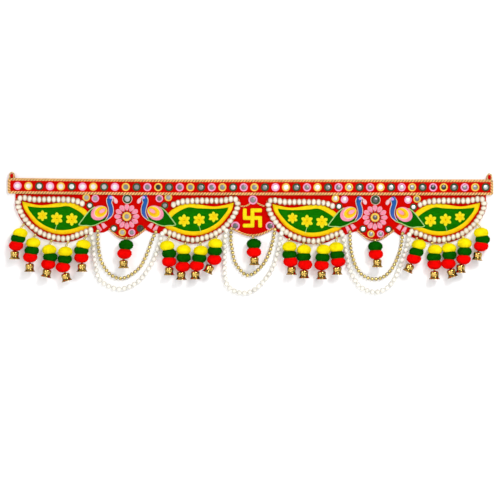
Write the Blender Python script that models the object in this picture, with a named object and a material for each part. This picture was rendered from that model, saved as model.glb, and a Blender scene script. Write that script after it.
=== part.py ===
# Toran door hanging: a scalloped red velvet strip under a mirrored header band, with leaf, bird and
# flower patches, twenty-one pompom drops that end in small bells, and three double swags of beads.
# Frame: X runs along the header to the right, Y into the wall, Z up. The origin is the middle of the
# header's top edge, on the wall plane. All tables are in millimetres: x to the right of the middle,
# down below the top edge, depth out from the wall.
import math
from typing import NamedTuple

import bmesh
import bpy

for old in list(bpy.data.objects):
    bpy.data.objects.remove(old, do_unlink=True)

MM = 0.001
GAP = 0.3

# Driving sizes
HEADER_HALF = 485.0
HEADER_DROP = 31.5
HEADER_LIFT = 3.2
PANEL_THICK = 2.5
PATCH_BACK = PANEL_THICK + GAP
LEAF_TOP = PATCH_BACK + 1.2
LEAF_RIM_EDGE = PATCH_BACK + 1.6
LEAF_RIM_TOP = PATCH_BACK + 2.2
STAR_BACK = PATCH_BACK + 0.6
STAR_TOP = PATCH_BACK + 1.8
STAR_PETALS = 6
STAR_NOTCH = 0.45
BIRD_BACK = PATCH_BACK + 0.1
BIRD_TOP = PATCH_BACK + 3.0
SIGN_TOP = PATCH_BACK + 1.8
MIRROR_TOP = 3.4
HEADER_BACK = MIRROR_TOP + GAP
HEADER_FRONT = 6.2
HEADER_MIRROR_TOP = 7.3
PIPING_WIDE = 5.4
PIPING_FRONT = 7.0
HEADER_MIRRORS = 45
# The header's mirrors are sewn a little wider apart at the left: number along the row, x
HEADER_SPREAD = ((0, -465.0), (14, -162.5), (22, 8.0), (30, 176.0), (44, 470.0))
HEADER_MIRROR_R = 8.2
HEADER_STATIONS = 11
BEAD_RIDGE_R = 3.8
BEAD_RIDGE_DEPTH = 4.6
POMPOM_R = 13.6
POMPOM_FLAT = 0.9
POMPOM_LOBE = 0.05
DROP_DEPTH = 15.5
DROP_SIDES = 7
THREAD_R = 1.2
HOOK_R = 2.6
HOOK_DEPTH = PATCH_BACK + HOOK_R
# The hook bead's rings: distance below its place, and radius
HOOK_RINGS = ((-2.2, 1.4), (-0.8, HOOK_R), (0.8, HOOK_R), (2.4, THREAD_R))
# A pompom's rings: distance below its middle, and share of its full radius
POMPOM_CROWN = (-7.2, 0.62)
POMPOM_UPPER = (-2.6, 1.0)
POMPOM_LOWER = (2.2, 0.97)
POMPOM_CHIN = (5.2, 0.62)
# Where two pompoms press together, as a share of the full radius
POMPOM_WAIST = 0.72
# The last pompom's lower tuft: distance below its middle, and radius
POMPOM_TUFT = (6.4, 3.0)
BELL_SIDES = 8
GOLD_R = 3.75
PEARL_R = 5.0
# A swag's points: how many radii apart they are kept, and how many are tried to each span
SWAG_STEP = 5.0
SWAG_FINE = 24
TAB_WIDE = 11.6
TAB_LOOP_R = 4.3
TAB_HOLE_R = 3.2
TAB_RISE = 0.5
TAB_TAIL = 14.0
TAB_BACK = 0.4
TAB_TAIL_THICK = 2.9


class Finish(NamedTuple):
    red: float
    green: float
    blue: float
    roughness: float
    metallic: float


FINISHES = {
    "red_velvet": Finish(0.62, 0.012, 0.008, 0.9, 0.0),
    "gold_piping": Finish(0.78, 0.42, 0.16, 0.45, 0.6),
    "green_thread": Finish(0.01, 0.17, 0.015, 0.7, 0.0),
    "pink_thread": Finish(0.95, 0.22, 0.42, 0.7, 0.0),
    "yellow_thread": Finish(0.98, 0.62, 0.02, 0.7, 0.0),
    "pompom_yarn": Finish(0.9, 0.55, 0.02, 0.95, 0.0),
    "brass": Finish(0.78, 0.5, 0.16, 0.3, 1.0),
    "gold_bead": Finish(0.75, 0.55, 0.25, 0.3, 0.4),
    "pearl_bead": Finish(0.93, 0.92, 0.85, 0.25, 0.0),
}


class Drop(NamedTuple):
    """A thread with two or three pompoms and a bell: places as (x, down), tilt in degrees."""

    hook: tuple
    pompoms: tuple
    bell: tuple
    tilt: float


DROPS = (
    Drop((-453, 90), ((-459, 108), (-463, 118), (-467, 132)), (-470, 150), 0),
    Drop((-430, 111), ((-433, 127), (-436, 142), (-439, 155)), (-440, 175), 0),
    Drop((-398, 123), ((-401, 141), (-399, 155), (-403, 169)), (-406, 186), -12),
    Drop((-364, 125), ((-369, 145), (-370, 159), (-374, 175)), (-368, 194), 15),
    Drop((-328, 113), ((-333, 131), (-337, 142), (-337, 156)), (-336, 175), 0),
    Drop((-248, 117), ((-248, 131), (-251, 148)), (-253, 168), 0),
    Drop((-162, 114), ((-166, 133), (-162, 148), (-162, 164)), (-162, 182), 0),
    Drop((-130, 128), ((-133, 141), (-133, 156), (-135, 174)), (-138, 191), 0),
    Drop((-100, 127), ((-99, 143), (-102, 157), (-107, 172)), (-110, 190), 0),
    Drop((-68, 115), ((-70, 129), (-71, 143), (-72, 160)), (-82, 178), -25),
    Drop((5, 114), ((7, 129), (7, 145)), (8, 162), 0),
    Drop((77, 120), ((78, 135), (78, 150), (80, 164)), (82, 181), 0),
    Drop((106, 128), ((107, 141), (106, 154), (109, 170)), (107, 188), 0),
    Drop((139, 129), ((146, 141), (144, 156), (142, 171)), (142, 190), 0),
    Drop((173, 116), ((171, 136), (173, 151), (175, 164)), (173, 181), 0),
    Drop((249, 122), ((249, 134), (250, 149)), (253, 166), 0),
    Drop((332, 118), ((336, 131), (331, 145), (326, 158)), (317, 176), -25),
    Drop((363, 127), ((368, 141), (366, 155), (367, 169)), (367, 190), 0),
    Drop((391, 126), ((396, 138), (397, 151), (395, 168)), (401, 186), 18),
    Drop((425, 115), ((427, 128), (427, 144), (425, 159)), (419, 177), 0),
    Drop((453, 88.5), ((460, 107), (463, 120), (460, 133)), (453, 152), -8),
)

# The panel's lower edge, left to right: each run is one smooth curve, and runs meet at a sharp peak.
EDGE_RUNS = (
    ((-470, 56), (-456, 84), (-426, 113), (-401, 122), (-376, 126), (-353, 123), (-329, 113),
     (-312, 106), (-295, 106), (-283, 101)),
    ((-283, 101), (-265, 116), (-247, 120), (-230, 116), (-209, 101)),
    ((-209, 101), (-196, 107), (-179, 109), (-141, 124), (-121, 128), (-100, 127), (-69, 115),
     (-48, 101), (-38, 99)),
    ((-38, 99), (-14, 111), (4, 114), (23, 111), (46, 100)),
    ((46, 100), (61, 109), (77, 120), (106, 128), (127, 129), (149, 127), (173, 117), (203, 106),
     (213, 104)),
    ((213, 104), (233, 120), (248, 123), (263, 120), (287, 104)),
    ((287, 104), (299, 112), (310, 110), (332, 119), (363, 127), (391, 127), (425, 115), (455, 85),
     (471, 55)),
)
PANEL_TOP = 6.0
PANEL_LEFT = -470.4
PANEL_RIGHT = 471.0

# A leaf's rim from its tip round the top to the stem and back: outer and inner (x, down) from the tip
LEAF_OUTER = ((0, 0), (35, 4), (70, 3), (86, 1), (103, 4), (126, 18), (136, 37), (131, 51), (97, 62),
              (62, 62), (29, 46), (6, 18), (0, 0))
LEAF_INNER = ((9, 8), (35, 11), (70, 10), (86, 8), (99, 11), (119, 23), (128, 37), (124, 45),
              (95, 55), (64, 55), (34, 41), (14, 19), (9, 8))
STARS = ((39.3, 27.4, 10), (68, 33.3, 12), (98, 34.7, 12))
# A row of beads runs round each leaf from above the stem to below it
BEAD_ROW = ((119, 3), (110, -1), (94, -4), (62, -5), (23, -5), (6, -8), (-6, -7), (-9, 0), (-7, 12),
            (2, 28), (15, 44), (30, 56), (47, 65), (78, 73), (98, 70), (118, 62), (136, 56))
# The bird's outline, (x, down) from its head, facing right
BIRD = ((0, -3.5), (4, -2), (12, 10.5), (3, 5), (1.6, 9), (4, 14.5), (5.4, 22), (5, 30), (1.6, 36.6),
        (-4, 42), (-9, 44), (-17, 48), (-32, 54), (-47, 56), (-63, 53), (-57, 46), (-47, 32),
        (-38, 22.5), (-30, 18), (-17, 15), (-9, 17.6), (-6.5, 20.5), (-4.6, 14.4), (-6.4, 8.4),
        (-6, 2.2), (-3, -2.5))
BIRD_MIRRORS = ((-48, -1, 7.6), (-30, 1, 7.6), (-41, 15, 6.6))


class Motif(NamedTuple):
    """A leaf with its bird: the leaf's tip, the bird's head, and 1 or -1 for which way it faces."""

    tip: tuple
    head: tuple
    facing: int


MOTIFS = (
    Motif((-455, 45), (-280, 37), 1),
    Motif((-33, 46), (-212, 37), -1),
    Motif((45, 49), (218, 39), 1),
    Motif((459, 45), (285, 40), -1),
)
FLOWERS = ((-247, 74), (249, 76))
FLOWER_PETALS = 12
FLOWER_R = 24.5
FLOWER_NOTCH_R = 15.0
# The flower's layers, back to front: reach at a petal, reach at a notch, depth
FLOWER_LAYERS = ((FLOWER_R, FLOWER_NOTCH_R, PATCH_BACK), (FLOWER_R, FLOWER_NOTCH_R, PATCH_BACK + 1.4),
                 (10.5, 10.0, PATCH_BACK + 2.6), (8.0, 8.0, PATCH_BACK + 3.4))
FLOWER_SWELL = 0.7
SIGN_CENTRE = (4, 77)
SIGN_HALF = 19.3
SIGN_STROKE = 8.0
# Sewn mirrors on the panel apart from the birds' own: x, down, radius
PANEL_MIRRORS = (
    (-246, 39, 9.0), (250, 41, 9.0), (5, 41, 9.2), (-30, 93, 8.8), (39, 93, 8.8),
    (-273, 98, 7.2), (-256, 106, 7.2), (-237, 106, 7.2), (-220, 98, 7.2),
    (225, 99, 7.2), (241, 109, 7.2), (260, 109, 7.2), (276, 100, 7.2),
)
# The swags, as hand-set routes between the two stitches that hold each one
GOLD_ROUTES = (
    ((-305, 103), (-304, 133), (-298, 163), (-285, 185), (-269, 196), (-253, 197), (-235, 188),
     (-219, 173), (-206, 147), (-198, 125), (-189, 105)),
    ((-38, 98), (-39, 121), (-36, 143), (-31, 165), (-20, 181), (-8, 191), (4, 189), (16, 180),
     (28, 166), (38, 146), (45, 122), (49, 100)),
    ((199, 105), (200, 133), (207, 164), (218, 185), (233, 196), (249, 199), (265, 195), (281, 181),
     (293, 158), (300.5, 135), (304, 108)),
)
PEARL_ROUTES = (
    ((-318, 107), (-314, 128), (-312, 155), (-305, 193), (-291, 209), (-264, 219), (-239, 213),
     (-219, 199), (-202, 176), (-189, 150), (-176, 108.5)),
    ((-48, 102.5), (-51, 124), (-52, 150), (-52, 177), (-48, 208), (-32, 223), (-11, 227), (10, 219), (30, 199),
     (46, 173), (56, 139), (62, 108)),
    ((184, 111), (192, 149), (199, 181), (214, 209), (231, 221), (253, 225), (275, 215), (291, 193),
     (304, 159), (313, 133), (317, 110.5)),
)
# A bell's wall from the crown to the lip and back up inside: radius, distance below the crown
BELL_OUTER = ((2.2, 0.0), (2.2, 2.2), (6.2, 3.6), (7.5, 7.0), (7.7, 12.0), (11.0, 18.5))
BELL_INNER = ((10.0, 18.2), (6.7, 12.0), (6.2, 5.6))
BELL_HEIGHT = 18.5


def material(name):
    """One plain finish for each kind of surface, shared by its pieces."""
    if name in bpy.data.materials:
        return bpy.data.materials[name]
    finish = FINISHES[name]
    made = bpy.data.materials.new(name)
    made.use_nodes = True
    shader = made.node_tree.nodes["Principled BSDF"]
    shader.inputs["Base Color"].default_value = (finish.red, finish.green, finish.blue, 1.0)
    shader.inputs["Roughness"].default_value = finish.roughness
    shader.inputs["Metallic"].default_value = finish.metallic
    return made


def point(x, down, depth):
    """A place on the hanging in metres."""
    return (x * MM, -depth * MM, -down * MM)


def smooth(points, steps):
    """Points on a curve through the given ones, with steps to each span, both ends kept."""
    ends = [points[0]] + list(points) + [points[-1]]
    out = []
    for before, start, stop, after in zip(ends, ends[1:], ends[2:], ends[3:]):
        for step in range(steps):
            t = step / steps
            out.append(tuple(
                0.5 * (2 * b + (c - a) * t + (2 * a - 5 * b + 4 * c - d) * t * t
                       + (3 * b - a - 3 * c + d) * t ** 3)
                for a, b, c, d in zip(before, start, stop, after)))
    return out + [tuple(points[-1])]


def make_object(name, mesh_data, finish):
    """Closes off a mesh as one named object with its normals facing out."""
    bmesh.ops.recalc_face_normals(mesh_data, faces=mesh_data.faces)
    bmesh.ops.triangulate(mesh_data, faces=mesh_data.faces)
    mesh = bpy.data.meshes.new(name)
    mesh_data.to_mesh(mesh)
    mesh_data.free()
    mesh.materials.append(material(finish))
    made = bpy.data.objects.new(name, mesh)
    bpy.context.scene.collection.objects.link(made)
    return made


def add_skin(mesh_data, loops, closed_ring=False):
    """Joins loops of equal length into a skin, capped at both ends or closed on itself."""
    rows = [[mesh_data.verts.new(place) for place in loop] for loop in loops]
    count = len(rows[0])
    pairs = list(zip(rows, rows[1:]))
    if closed_ring:
        pairs.append((rows[-1], rows[0]))
    else:
        mesh_data.faces.new(rows[0])
        mesh_data.faces.new(rows[-1])
    for low, high in pairs:
        for i in range(count):
            j = (i + 1) % count
            mesh_data.faces.new((low[i], low[j], high[j], high[i]))


def slab(mesh_data, layers):
    """A flat patch: layers of (outline, depth) from its back to its front."""
    add_skin(mesh_data, [[point(x, down, depth) for x, down in outline] for outline, depth in layers])


def circle(x, down, radius, sides):
    """An outline round a centre."""
    turn = 2 * math.pi / sides
    return [(x + radius * math.cos(i * turn), down + radius * math.sin(i * turn))
            for i in range(sides)]


def join(target, tool, operation="UNION"):
    """Adds or cuts a hidden tool shape, and keeps one closed body."""
    tool.hide_render = True
    tool.display_type = "WIRE"
    step = target.modifiers.new(tool.name, "BOOLEAN")
    step.operation = operation
    step.object = tool


def header_lift(x):
    """How far the header's left end rides above the rest."""
    share = min(max((-60 - x) / 425, 0), 1)
    return HEADER_LIFT * share * share


def header_mirror_x(number):
    """Where along the header a mirror of the row is."""
    for (first, start), (last, stop) in zip(HEADER_SPREAD, HEADER_SPREAD[1:]):
        if number <= last:
            return start + (stop - start) * (number - first) / (last - first)
    raise ValueError(f"the header has no mirror {number}")


def header_outline(inset):
    """The header's outline drawn in by the inset on every side."""
    half = HEADER_HALF - inset
    stations = [half * (2 * i / (HEADER_STATIONS - 1) - 1) for i in range(HEADER_STATIONS)]
    top = [(x, inset - header_lift(x)) for x in stations]
    bottom = [(x, HEADER_DROP - inset - header_lift(x)) for x in reversed(stations)]
    return top + bottom


def add_tube(mesh_data, route, radius, depth, sides):
    """A ridge along a route on the cloth, round in section, with flat ends."""
    loops = []
    for i, (x, down) in enumerate(route):
        before, after = route[max(i - 1, 0)], route[min(i + 1, len(route) - 1)]
        run, fall = after[0] - before[0], after[1] - before[1]
        length = math.hypot(run, fall)
        across = (-fall / length, run / length)
        loops.append([
            point(x + across[0] * radius * math.cos(a), down + across[1] * radius * math.cos(a),
                  depth + radius * math.sin(a))
            for a in (2 * math.pi * k / sides for k in range(sides))])
    add_skin(mesh_data, loops)


def build_panel():
    """The velvet strip with its sewn mirrors and its rows of beads raised on the front."""
    outline = [(PANEL_RIGHT, PANEL_TOP), (PANEL_LEFT, PANEL_TOP)]
    for run in EDGE_RUNS:
        outline += smooth(run, 2)[:-1]
    outline.append(EDGE_RUNS[-1][-1])
    mesh_data = bmesh.new()
    slab(mesh_data, ((outline, 0.0), (outline, PANEL_THICK)))
    panel = make_object("base_panel", mesh_data, "red_velvet")

    places = list(PANEL_MIRRORS)
    for motif in MOTIFS:
        places += [(motif.head[0] + motif.facing * x, motif.head[1] + down, radius)
                   for x, down, radius in BIRD_MIRRORS]
    mesh_data = bmesh.new()
    for x, down, radius in places:
        disc = circle(x, down, radius, 8)
        slab(mesh_data, ((disc, PANEL_THICK / 2), (disc, MIRROR_TOP)))
    join(panel, make_object("panel_mirror_shapes", mesh_data, "red_velvet"))

    mesh_data = bmesh.new()
    for motif in MOTIFS:
        route = [(motif.tip[0] + motif.facing * x, motif.tip[1] + down)
                 for x, down in smooth(BEAD_ROW, 2)]
        add_tube(mesh_data, route, BEAD_RIDGE_R, BEAD_RIDGE_DEPTH, 6)
    join(panel, make_object("bead_row_shapes", mesh_data, "gold_bead"))


def build_header():
    """The band with its row of mirrors, and the gold piping that frames it."""
    mesh_data = bmesh.new()
    outline = header_outline(PIPING_WIDE + GAP)
    slab(mesh_data, ((outline, HEADER_BACK), (outline, HEADER_FRONT)))
    band = make_object("header_band", mesh_data, "red_velvet")
    mesh_data = bmesh.new()
    for i in range(HEADER_MIRRORS):
        x = header_mirror_x(i)
        disc = circle(x, HEADER_DROP / 2 - header_lift(x), HEADER_MIRROR_R, 6)
        slab(mesh_data, ((disc, (HEADER_BACK + HEADER_FRONT) / 2), (disc, HEADER_MIRROR_TOP)))
    join(band, make_object("header_mirror_shapes", mesh_data, "red_velvet"))

    middle = (HEADER_BACK + PIPING_FRONT) / 2
    quarter = PIPING_WIDE / 4
    section = ((0.0, middle), (quarter, PIPING_FRONT), (PIPING_WIDE - quarter, PIPING_FRONT),
               (PIPING_WIDE, middle), (PIPING_WIDE - quarter, HEADER_BACK), (quarter, HEADER_BACK))
    mesh_data = bmesh.new()
    loops = [[point(x, down, depth) for x, down in header_outline(inset)] for inset, depth in section]
    add_skin(mesh_data, loops, closed_ring=True)
    make_object("header_piping", mesh_data, "gold_piping")


def build_tab(name, left):
    """A folded ribbon loop that stands above the header, its tail sewn behind it."""
    centre = -header_lift(left) - TAB_LOOP_R - TAB_RISE
    middle = TAB_BACK + TAB_LOOP_R
    front = TAB_BACK + TAB_TAIL_THICK
    meet = math.acos((front - middle) / TAB_LOOP_R)
    steps = 12
    arc = [meet - (meet + math.pi) * i / steps for i in range(steps + 1)]
    outline = [(TAB_BACK, TAB_TAIL), (front, TAB_TAIL)]
    outline += [(middle + TAB_LOOP_R * math.cos(a), centre + TAB_LOOP_R * math.sin(a)) for a in arc]
    mesh_data = bmesh.new()
    add_skin(mesh_data, [[point(x, down, depth) for depth, down in outline]
                         for x in (left, left + TAB_WIDE)])
    tab = make_object(name, mesh_data, "red_velvet")
    mesh_data = bmesh.new()
    hole = circle(middle, centre, TAB_HOLE_R, 16)
    add_skin(mesh_data, [[point(x, down, depth) for depth, down in hole]
                         for x in (left - TAB_WIDE, left + 2 * TAB_WIDE)])
    join(tab, make_object(name + "_hole", mesh_data, "red_velvet"), "DIFFERENCE")


def build_leaf_and_bird(number, motif):
    """A leaf with a raised rim and three stars, and the bird whose tail lies over its stem."""
    def shift(outline, anchor):
        return [(anchor[0] + motif.facing * x, anchor[1] + down) for x, down in outline]

    outer = shift(smooth(LEAF_OUTER, 2)[:-1], motif.tip)
    inner = shift(smooth(LEAF_INNER, 2)[:-1], motif.tip)
    mesh_data = bmesh.new()
    slab(mesh_data, ((outer, PATCH_BACK), (outer, LEAF_RIM_EDGE), (inner, LEAF_RIM_TOP),
                     (inner, LEAF_TOP)))
    leaf = make_object(f"leaf_bird_{number}", mesh_data, "green_thread")

    mesh_data = bmesh.new()
    for x, down, radius in STARS:
        star = []
        for k in range(2 * STAR_PETALS):
            reach = radius if k % 2 == 0 else radius * STAR_NOTCH
            angle = math.pi * (k / STAR_PETALS - 0.5)
            star.append((x + reach * math.cos(angle), down + reach * math.sin(angle)))
        star = shift(star, motif.tip)
        slab(mesh_data, ((star, STAR_BACK), (star, STAR_TOP)))
    join(leaf, make_object(f"star_shapes_{number}", mesh_data, "yellow_thread"))

    bird = shift(BIRD, motif.head)
    mesh_data = bmesh.new()
    slab(mesh_data, ((bird, BIRD_BACK), (bird, BIRD_TOP)))
    join(leaf, make_object(f"bird_shape_{number}", mesh_data, "pink_thread"))


def build_flower(number, centre):
    """A round flower of petals with a raised middle."""
    def ring(reach, notch):
        steps = FLOWER_PETALS * 4
        out = []
        for k in range(steps):
            angle = 2 * math.pi * k / steps
            swell = abs(math.cos(FLOWER_PETALS * angle / 2)) ** FLOWER_SWELL
            radius = notch + (reach - notch) * swell
            out.append((centre[0] + radius * math.cos(angle), centre[1] + radius * math.sin(angle)))
        return out

    mesh_data = bmesh.new()
    slab(mesh_data, [(ring(reach, notch), depth) for reach, notch, depth in FLOWER_LAYERS])
    make_object(f"flower_{number}", mesh_data, "pink_thread")


def build_sign():
    """The upright auspicious cross of the middle scallop: one arm, turned four times."""
    half, stroke = SIGN_HALF, SIGN_STROKE / 2
    arm = ((-stroke, -stroke), (-stroke, -half), (half, -half), (half, 2 * stroke - half),
           (stroke, 2 * stroke - half))
    outline = []
    for quarter in range(4):
        for x, down in arm:
            for _ in range(quarter):
                x, down = -down, x
            outline.append((SIGN_CENTRE[0] + x, SIGN_CENTRE[1] + down))
    mesh_data = bmesh.new()
    slab(mesh_data, ((outline, PATCH_BACK), (outline, SIGN_TOP)))
    make_object("centre_sign", mesh_data, "yellow_thread")


def bell_crown(drop):
    """Where the top of a drop's bell is, from its middle and its tilt."""
    tilt = math.radians(drop.tilt)
    return (drop.bell[0] - BELL_HEIGHT / 2 * math.sin(tilt),
            drop.bell[1] - BELL_HEIGHT / 2 * math.cos(tilt))


def build_drop(number, drop):
    """One thread: a hook bead on the panel, two or three pompoms in a row, and the bell's knot."""
    hook_x, hook_down = drop.hook
    crown_x, crown_down = bell_crown(drop)
    knot_down = crown_down - GAP - BELL_OUTER[0][0] * abs(math.sin(math.radians(drop.tilt)))
    rings = [(hook_x, hook_down + below, HOOK_DEPTH, radius) for below, radius in HOOK_RINGS]

    def pompom_ring(place, ring):
        """A ring of the pompom at a place."""
        return (place[0], place[1] + ring[0], DROP_DEPTH, POMPOM_R * ring[1])

    rings.append(pompom_ring(drop.pompoms[0], POMPOM_CROWN))
    for here, following in zip(drop.pompoms, drop.pompoms[1:] + (None,)):
        rings += [pompom_ring(here, POMPOM_UPPER), pompom_ring(here, POMPOM_LOWER)]
        if following:
            rings.append(((here[0] + following[0]) / 2, (here[1] + following[1]) / 2, DROP_DEPTH,
                          POMPOM_R * POMPOM_WAIST))
    last_x, last_down = drop.pompoms[-1]
    rings += [pompom_ring(drop.pompoms[-1], POMPOM_CHIN),
              ((last_x + crown_x) / 2, last_down + POMPOM_TUFT[0], DROP_DEPTH, POMPOM_TUFT[1]),
              (crown_x, knot_down, DROP_DEPTH, THREAD_R)]
    loops = []
    for row, (x, down, depth, radius) in enumerate(rings):
        loop = []
        for k in range(DROP_SIDES):
            angle = 2 * math.pi * (k + 0.5 * (row % 2)) / DROP_SIDES
            reach = radius * (1 - POMPOM_LOBE * (k % 2)) if radius > HOOK_R else radius
            flat = POMPOM_FLAT if radius > HOOK_R else 1.0
            loop.append(point(x + reach * math.cos(angle), down, depth + flat * reach * math.sin(angle)))
        loops.append(loop)
    mesh_data = bmesh.new()
    add_skin(mesh_data, loops)
    make_object(f"pompom_drop_{number:02d}", mesh_data, "pompom_yarn")


def build_bell(number, drop):
    """A small open bell, hollow from its lip to under its crown."""
    crown_x, crown_down = bell_crown(drop)
    tilt = math.radians(drop.tilt)
    loops = []
    for radius, below in BELL_OUTER + BELL_INNER:
        loop = []
        for k in range(BELL_SIDES):
            angle = 2 * math.pi * (k + 0.5) / BELL_SIDES
            side, out = radius * math.cos(angle), radius * math.sin(angle)
            loop.append(point(crown_x + below * math.sin(tilt) + side * math.cos(tilt),
                              crown_down + below * math.cos(tilt) - side * math.sin(tilt),
                              DROP_DEPTH + out))
        loops.append(loop)
    mesh_data = bmesh.new()
    add_skin(mesh_data, loops)
    make_object(f"bell_{number:02d}", mesh_data, "brass")


def build_swag(name, route, radius, finish):
    """A strand of beads that hangs free between its two stitches, as a round tube."""
    spacing = SWAG_STEP * radius
    ends = PANEL_THICK + 2 * GAP + radius
    free = radius + 2 * GAP
    deep = [(x, down, ends if i in (0, len(route) - 1) else free) for i, (x, down) in enumerate(route)]
    fine = smooth(deep, SWAG_FINE)
    kept, since = [fine[0]], 0.0
    for before, here in zip(fine, fine[1:]):
        since += math.dist(before, here)
        if since >= spacing:
            kept.append(here)
            since = 0.0
    if since < spacing / 2:
        kept.pop()
    kept.append(fine[-1])
    curve = bpy.data.curves.new(name, "CURVE")
    curve.dimensions = "3D"
    curve.bevel_depth = radius * MM
    curve.bevel_resolution = 2
    curve.use_fill_caps = True
    spline = curve.splines.new("POLY")
    spline.points.add(len(kept) - 1)
    for place, (x, down, depth) in zip(spline.points, kept):
        place.co = (*point(x, down, depth), 1.0)
    curve.materials.append(material(finish))
    bpy.context.scene.collection.objects.link(bpy.data.objects.new(name, curve))


build_panel()
build_header()
build_tab("hanger_tab_left", PANEL_LEFT - GAP - TAB_WIDE)
build_tab("hanger_tab_right", PANEL_RIGHT + GAP)
for number, motif in enumerate(MOTIFS, 1):
    build_leaf_and_bird(number, motif)
for number, centre in enumerate(FLOWERS, 1):
    build_flower(number, centre)
build_sign()
for number, drop in enumerate(DROPS, 1):
    build_drop(number, drop)
    build_bell(number, drop)
for number, (gold, pearl) in enumerate(zip(GOLD_ROUTES, PEARL_ROUTES), 1):
    build_swag(f"gold_chain_{number}", gold, GOLD_R, "gold_bead")
    build_swag(f"pearl_strand_{number}", pearl, PEARL_R, "pearl_bead")
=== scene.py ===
"""The looks of a toran door hanging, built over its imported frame.

Tables are in millimetres: x to the right of the header's middle, down below its top edge, depth out
from the wall. Every piece is a closed skin over a grid of points, worked out as whole arrays.
"""
import logging
import math
from dataclasses import dataclass, field
from enum import Enum
from typing import NamedTuple

import bpy
import numpy as np
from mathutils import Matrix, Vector


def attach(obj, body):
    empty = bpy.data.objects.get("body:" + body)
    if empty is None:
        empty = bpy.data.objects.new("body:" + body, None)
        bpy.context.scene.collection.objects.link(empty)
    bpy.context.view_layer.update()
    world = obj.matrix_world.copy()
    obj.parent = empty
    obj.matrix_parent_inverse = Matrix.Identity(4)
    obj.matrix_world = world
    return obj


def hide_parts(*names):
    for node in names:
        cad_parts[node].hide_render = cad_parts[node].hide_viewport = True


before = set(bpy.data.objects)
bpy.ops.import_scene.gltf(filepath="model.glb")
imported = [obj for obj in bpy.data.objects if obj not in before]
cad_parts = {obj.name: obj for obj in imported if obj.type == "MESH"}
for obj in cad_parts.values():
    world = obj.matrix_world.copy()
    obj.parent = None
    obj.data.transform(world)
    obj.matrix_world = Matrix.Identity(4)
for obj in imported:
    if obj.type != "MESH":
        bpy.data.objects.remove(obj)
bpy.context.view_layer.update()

log = logging.getLogger("toran")

MM = 0.001
TURN = 2 * math.pi
DEPTH_AXIS = np.array([0.0, 0.0, 1.0])
SIDE_AXIS = np.array([1.0, 0.0, 0.0])

# Pile and yarn hardly reflect, so they bend light little; thread, beads and glass do
DULL_GLOSS, DULL_INDEX, GLOSSY_INDEX = 0.15, 1.12, 1.5

# Depths of the layers, out from the wall
VELVET_FRONT = 2.5
PATCH_BACK = 2.6
HEADER_BACK = 3.7
HEADER_FRONT = 6.2
DROP_DEPTH = 15.5

# The header band
HEADER_HALF = 485.0
HEADER_DROP = 31.5
HEADER_LIFT = 3.2
PIPING_WIDE = 5.4

# The panel's lower edge, left to right: each run is one smooth curve, and runs meet at a sharp peak
EDGE_RUNS = (
    ((-470, 56), (-456, 84), (-426, 113), (-401, 122), (-376, 126), (-353, 123), (-329, 113),
     (-312, 106), (-295, 106), (-283, 101)),
    ((-283, 101), (-265, 116), (-247, 120), (-230, 116), (-209, 101)),
    ((-209, 101), (-196, 107), (-179, 109), (-141, 124), (-121, 128), (-100, 127), (-69, 115),
     (-48, 101), (-38, 99)),
    ((-38, 99), (-14, 111), (4, 114), (23, 111), (46, 100)),
    ((46, 100), (61, 109), (77, 120), (106, 128), (127, 129), (149, 127), (173, 117), (203, 106),
     (213, 104)),
    ((213, 104), (233, 120), (248, 123), (263, 120), (287, 104)),
    ((287, 104), (299, 112), (310, 110), (332, 119), (363, 127), (391, 127), (425, 115), (455, 85),
     (471, 55)),
)
PANEL_TOP = 6.0
PANEL_LEFT = -470.4
PANEL_RIGHT = 471.0


class Drop(NamedTuple):
    """A thread with two or three pompoms and a bell: places as (x, down), tilt in degrees."""

    hook: tuple
    pompoms: tuple
    bell: tuple
    tilt: float


DROPS = (
    Drop((-453, 90), ((-459, 108), (-463, 118), (-467, 132)), (-470, 150), 0),
    Drop((-430, 111), ((-433, 127), (-436, 142), (-439, 155)), (-440, 175), 0),
    Drop((-398, 123), ((-401, 141), (-399, 155), (-403, 169)), (-406, 186), -12),
    Drop((-364, 125), ((-369, 145), (-370, 159), (-374, 175)), (-368, 194), 15),
    Drop((-328, 113), ((-333, 131), (-337, 142), (-337, 156)), (-336, 175), 0),
    Drop((-248, 117), ((-248, 131), (-251, 148)), (-253, 168), 0),
    Drop((-162, 114), ((-166, 133), (-162, 148), (-162, 164)), (-162, 182), 0),
    Drop((-130, 128), ((-133, 141), (-133, 156), (-135, 174)), (-138, 191), 0),
    Drop((-100, 127), ((-99, 143), (-102, 157), (-107, 172)), (-110, 190), 0),
    Drop((-68, 115), ((-70, 129), (-71, 143), (-72, 160)), (-82, 178), -25),
    Drop((5, 114), ((7, 129), (7, 145)), (8, 162), 0),
    Drop((77, 120), ((78, 135), (78, 150), (80, 164)), (82, 181), 0),
    Drop((106, 128), ((107, 141), (106, 154), (109, 170)), (107, 188), 0),
    Drop((139, 129), ((146, 141), (144, 156), (142, 171)), (142, 190), 0),
    Drop((173, 116), ((171, 136), (173, 151), (175, 164)), (173, 181), 0),
    Drop((249, 122), ((249, 134), (250, 149)), (253, 166), 0),
    Drop((332, 118), ((336, 131), (331, 145), (326, 158)), (317, 176), -25),
    Drop((363, 127), ((368, 141), (366, 155), (367, 169)), (367, 190), 0),
    Drop((391, 126), ((396, 138), (397, 151), (395, 168)), (401, 186), 18),
    Drop((425, 115), ((427, 128), (427, 144), (425, 159)), (419, 177), 0),
    Drop((453, 88.5), ((460, 107), (463, 120), (460, 133)), (453, 152), -8),
)

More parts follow.
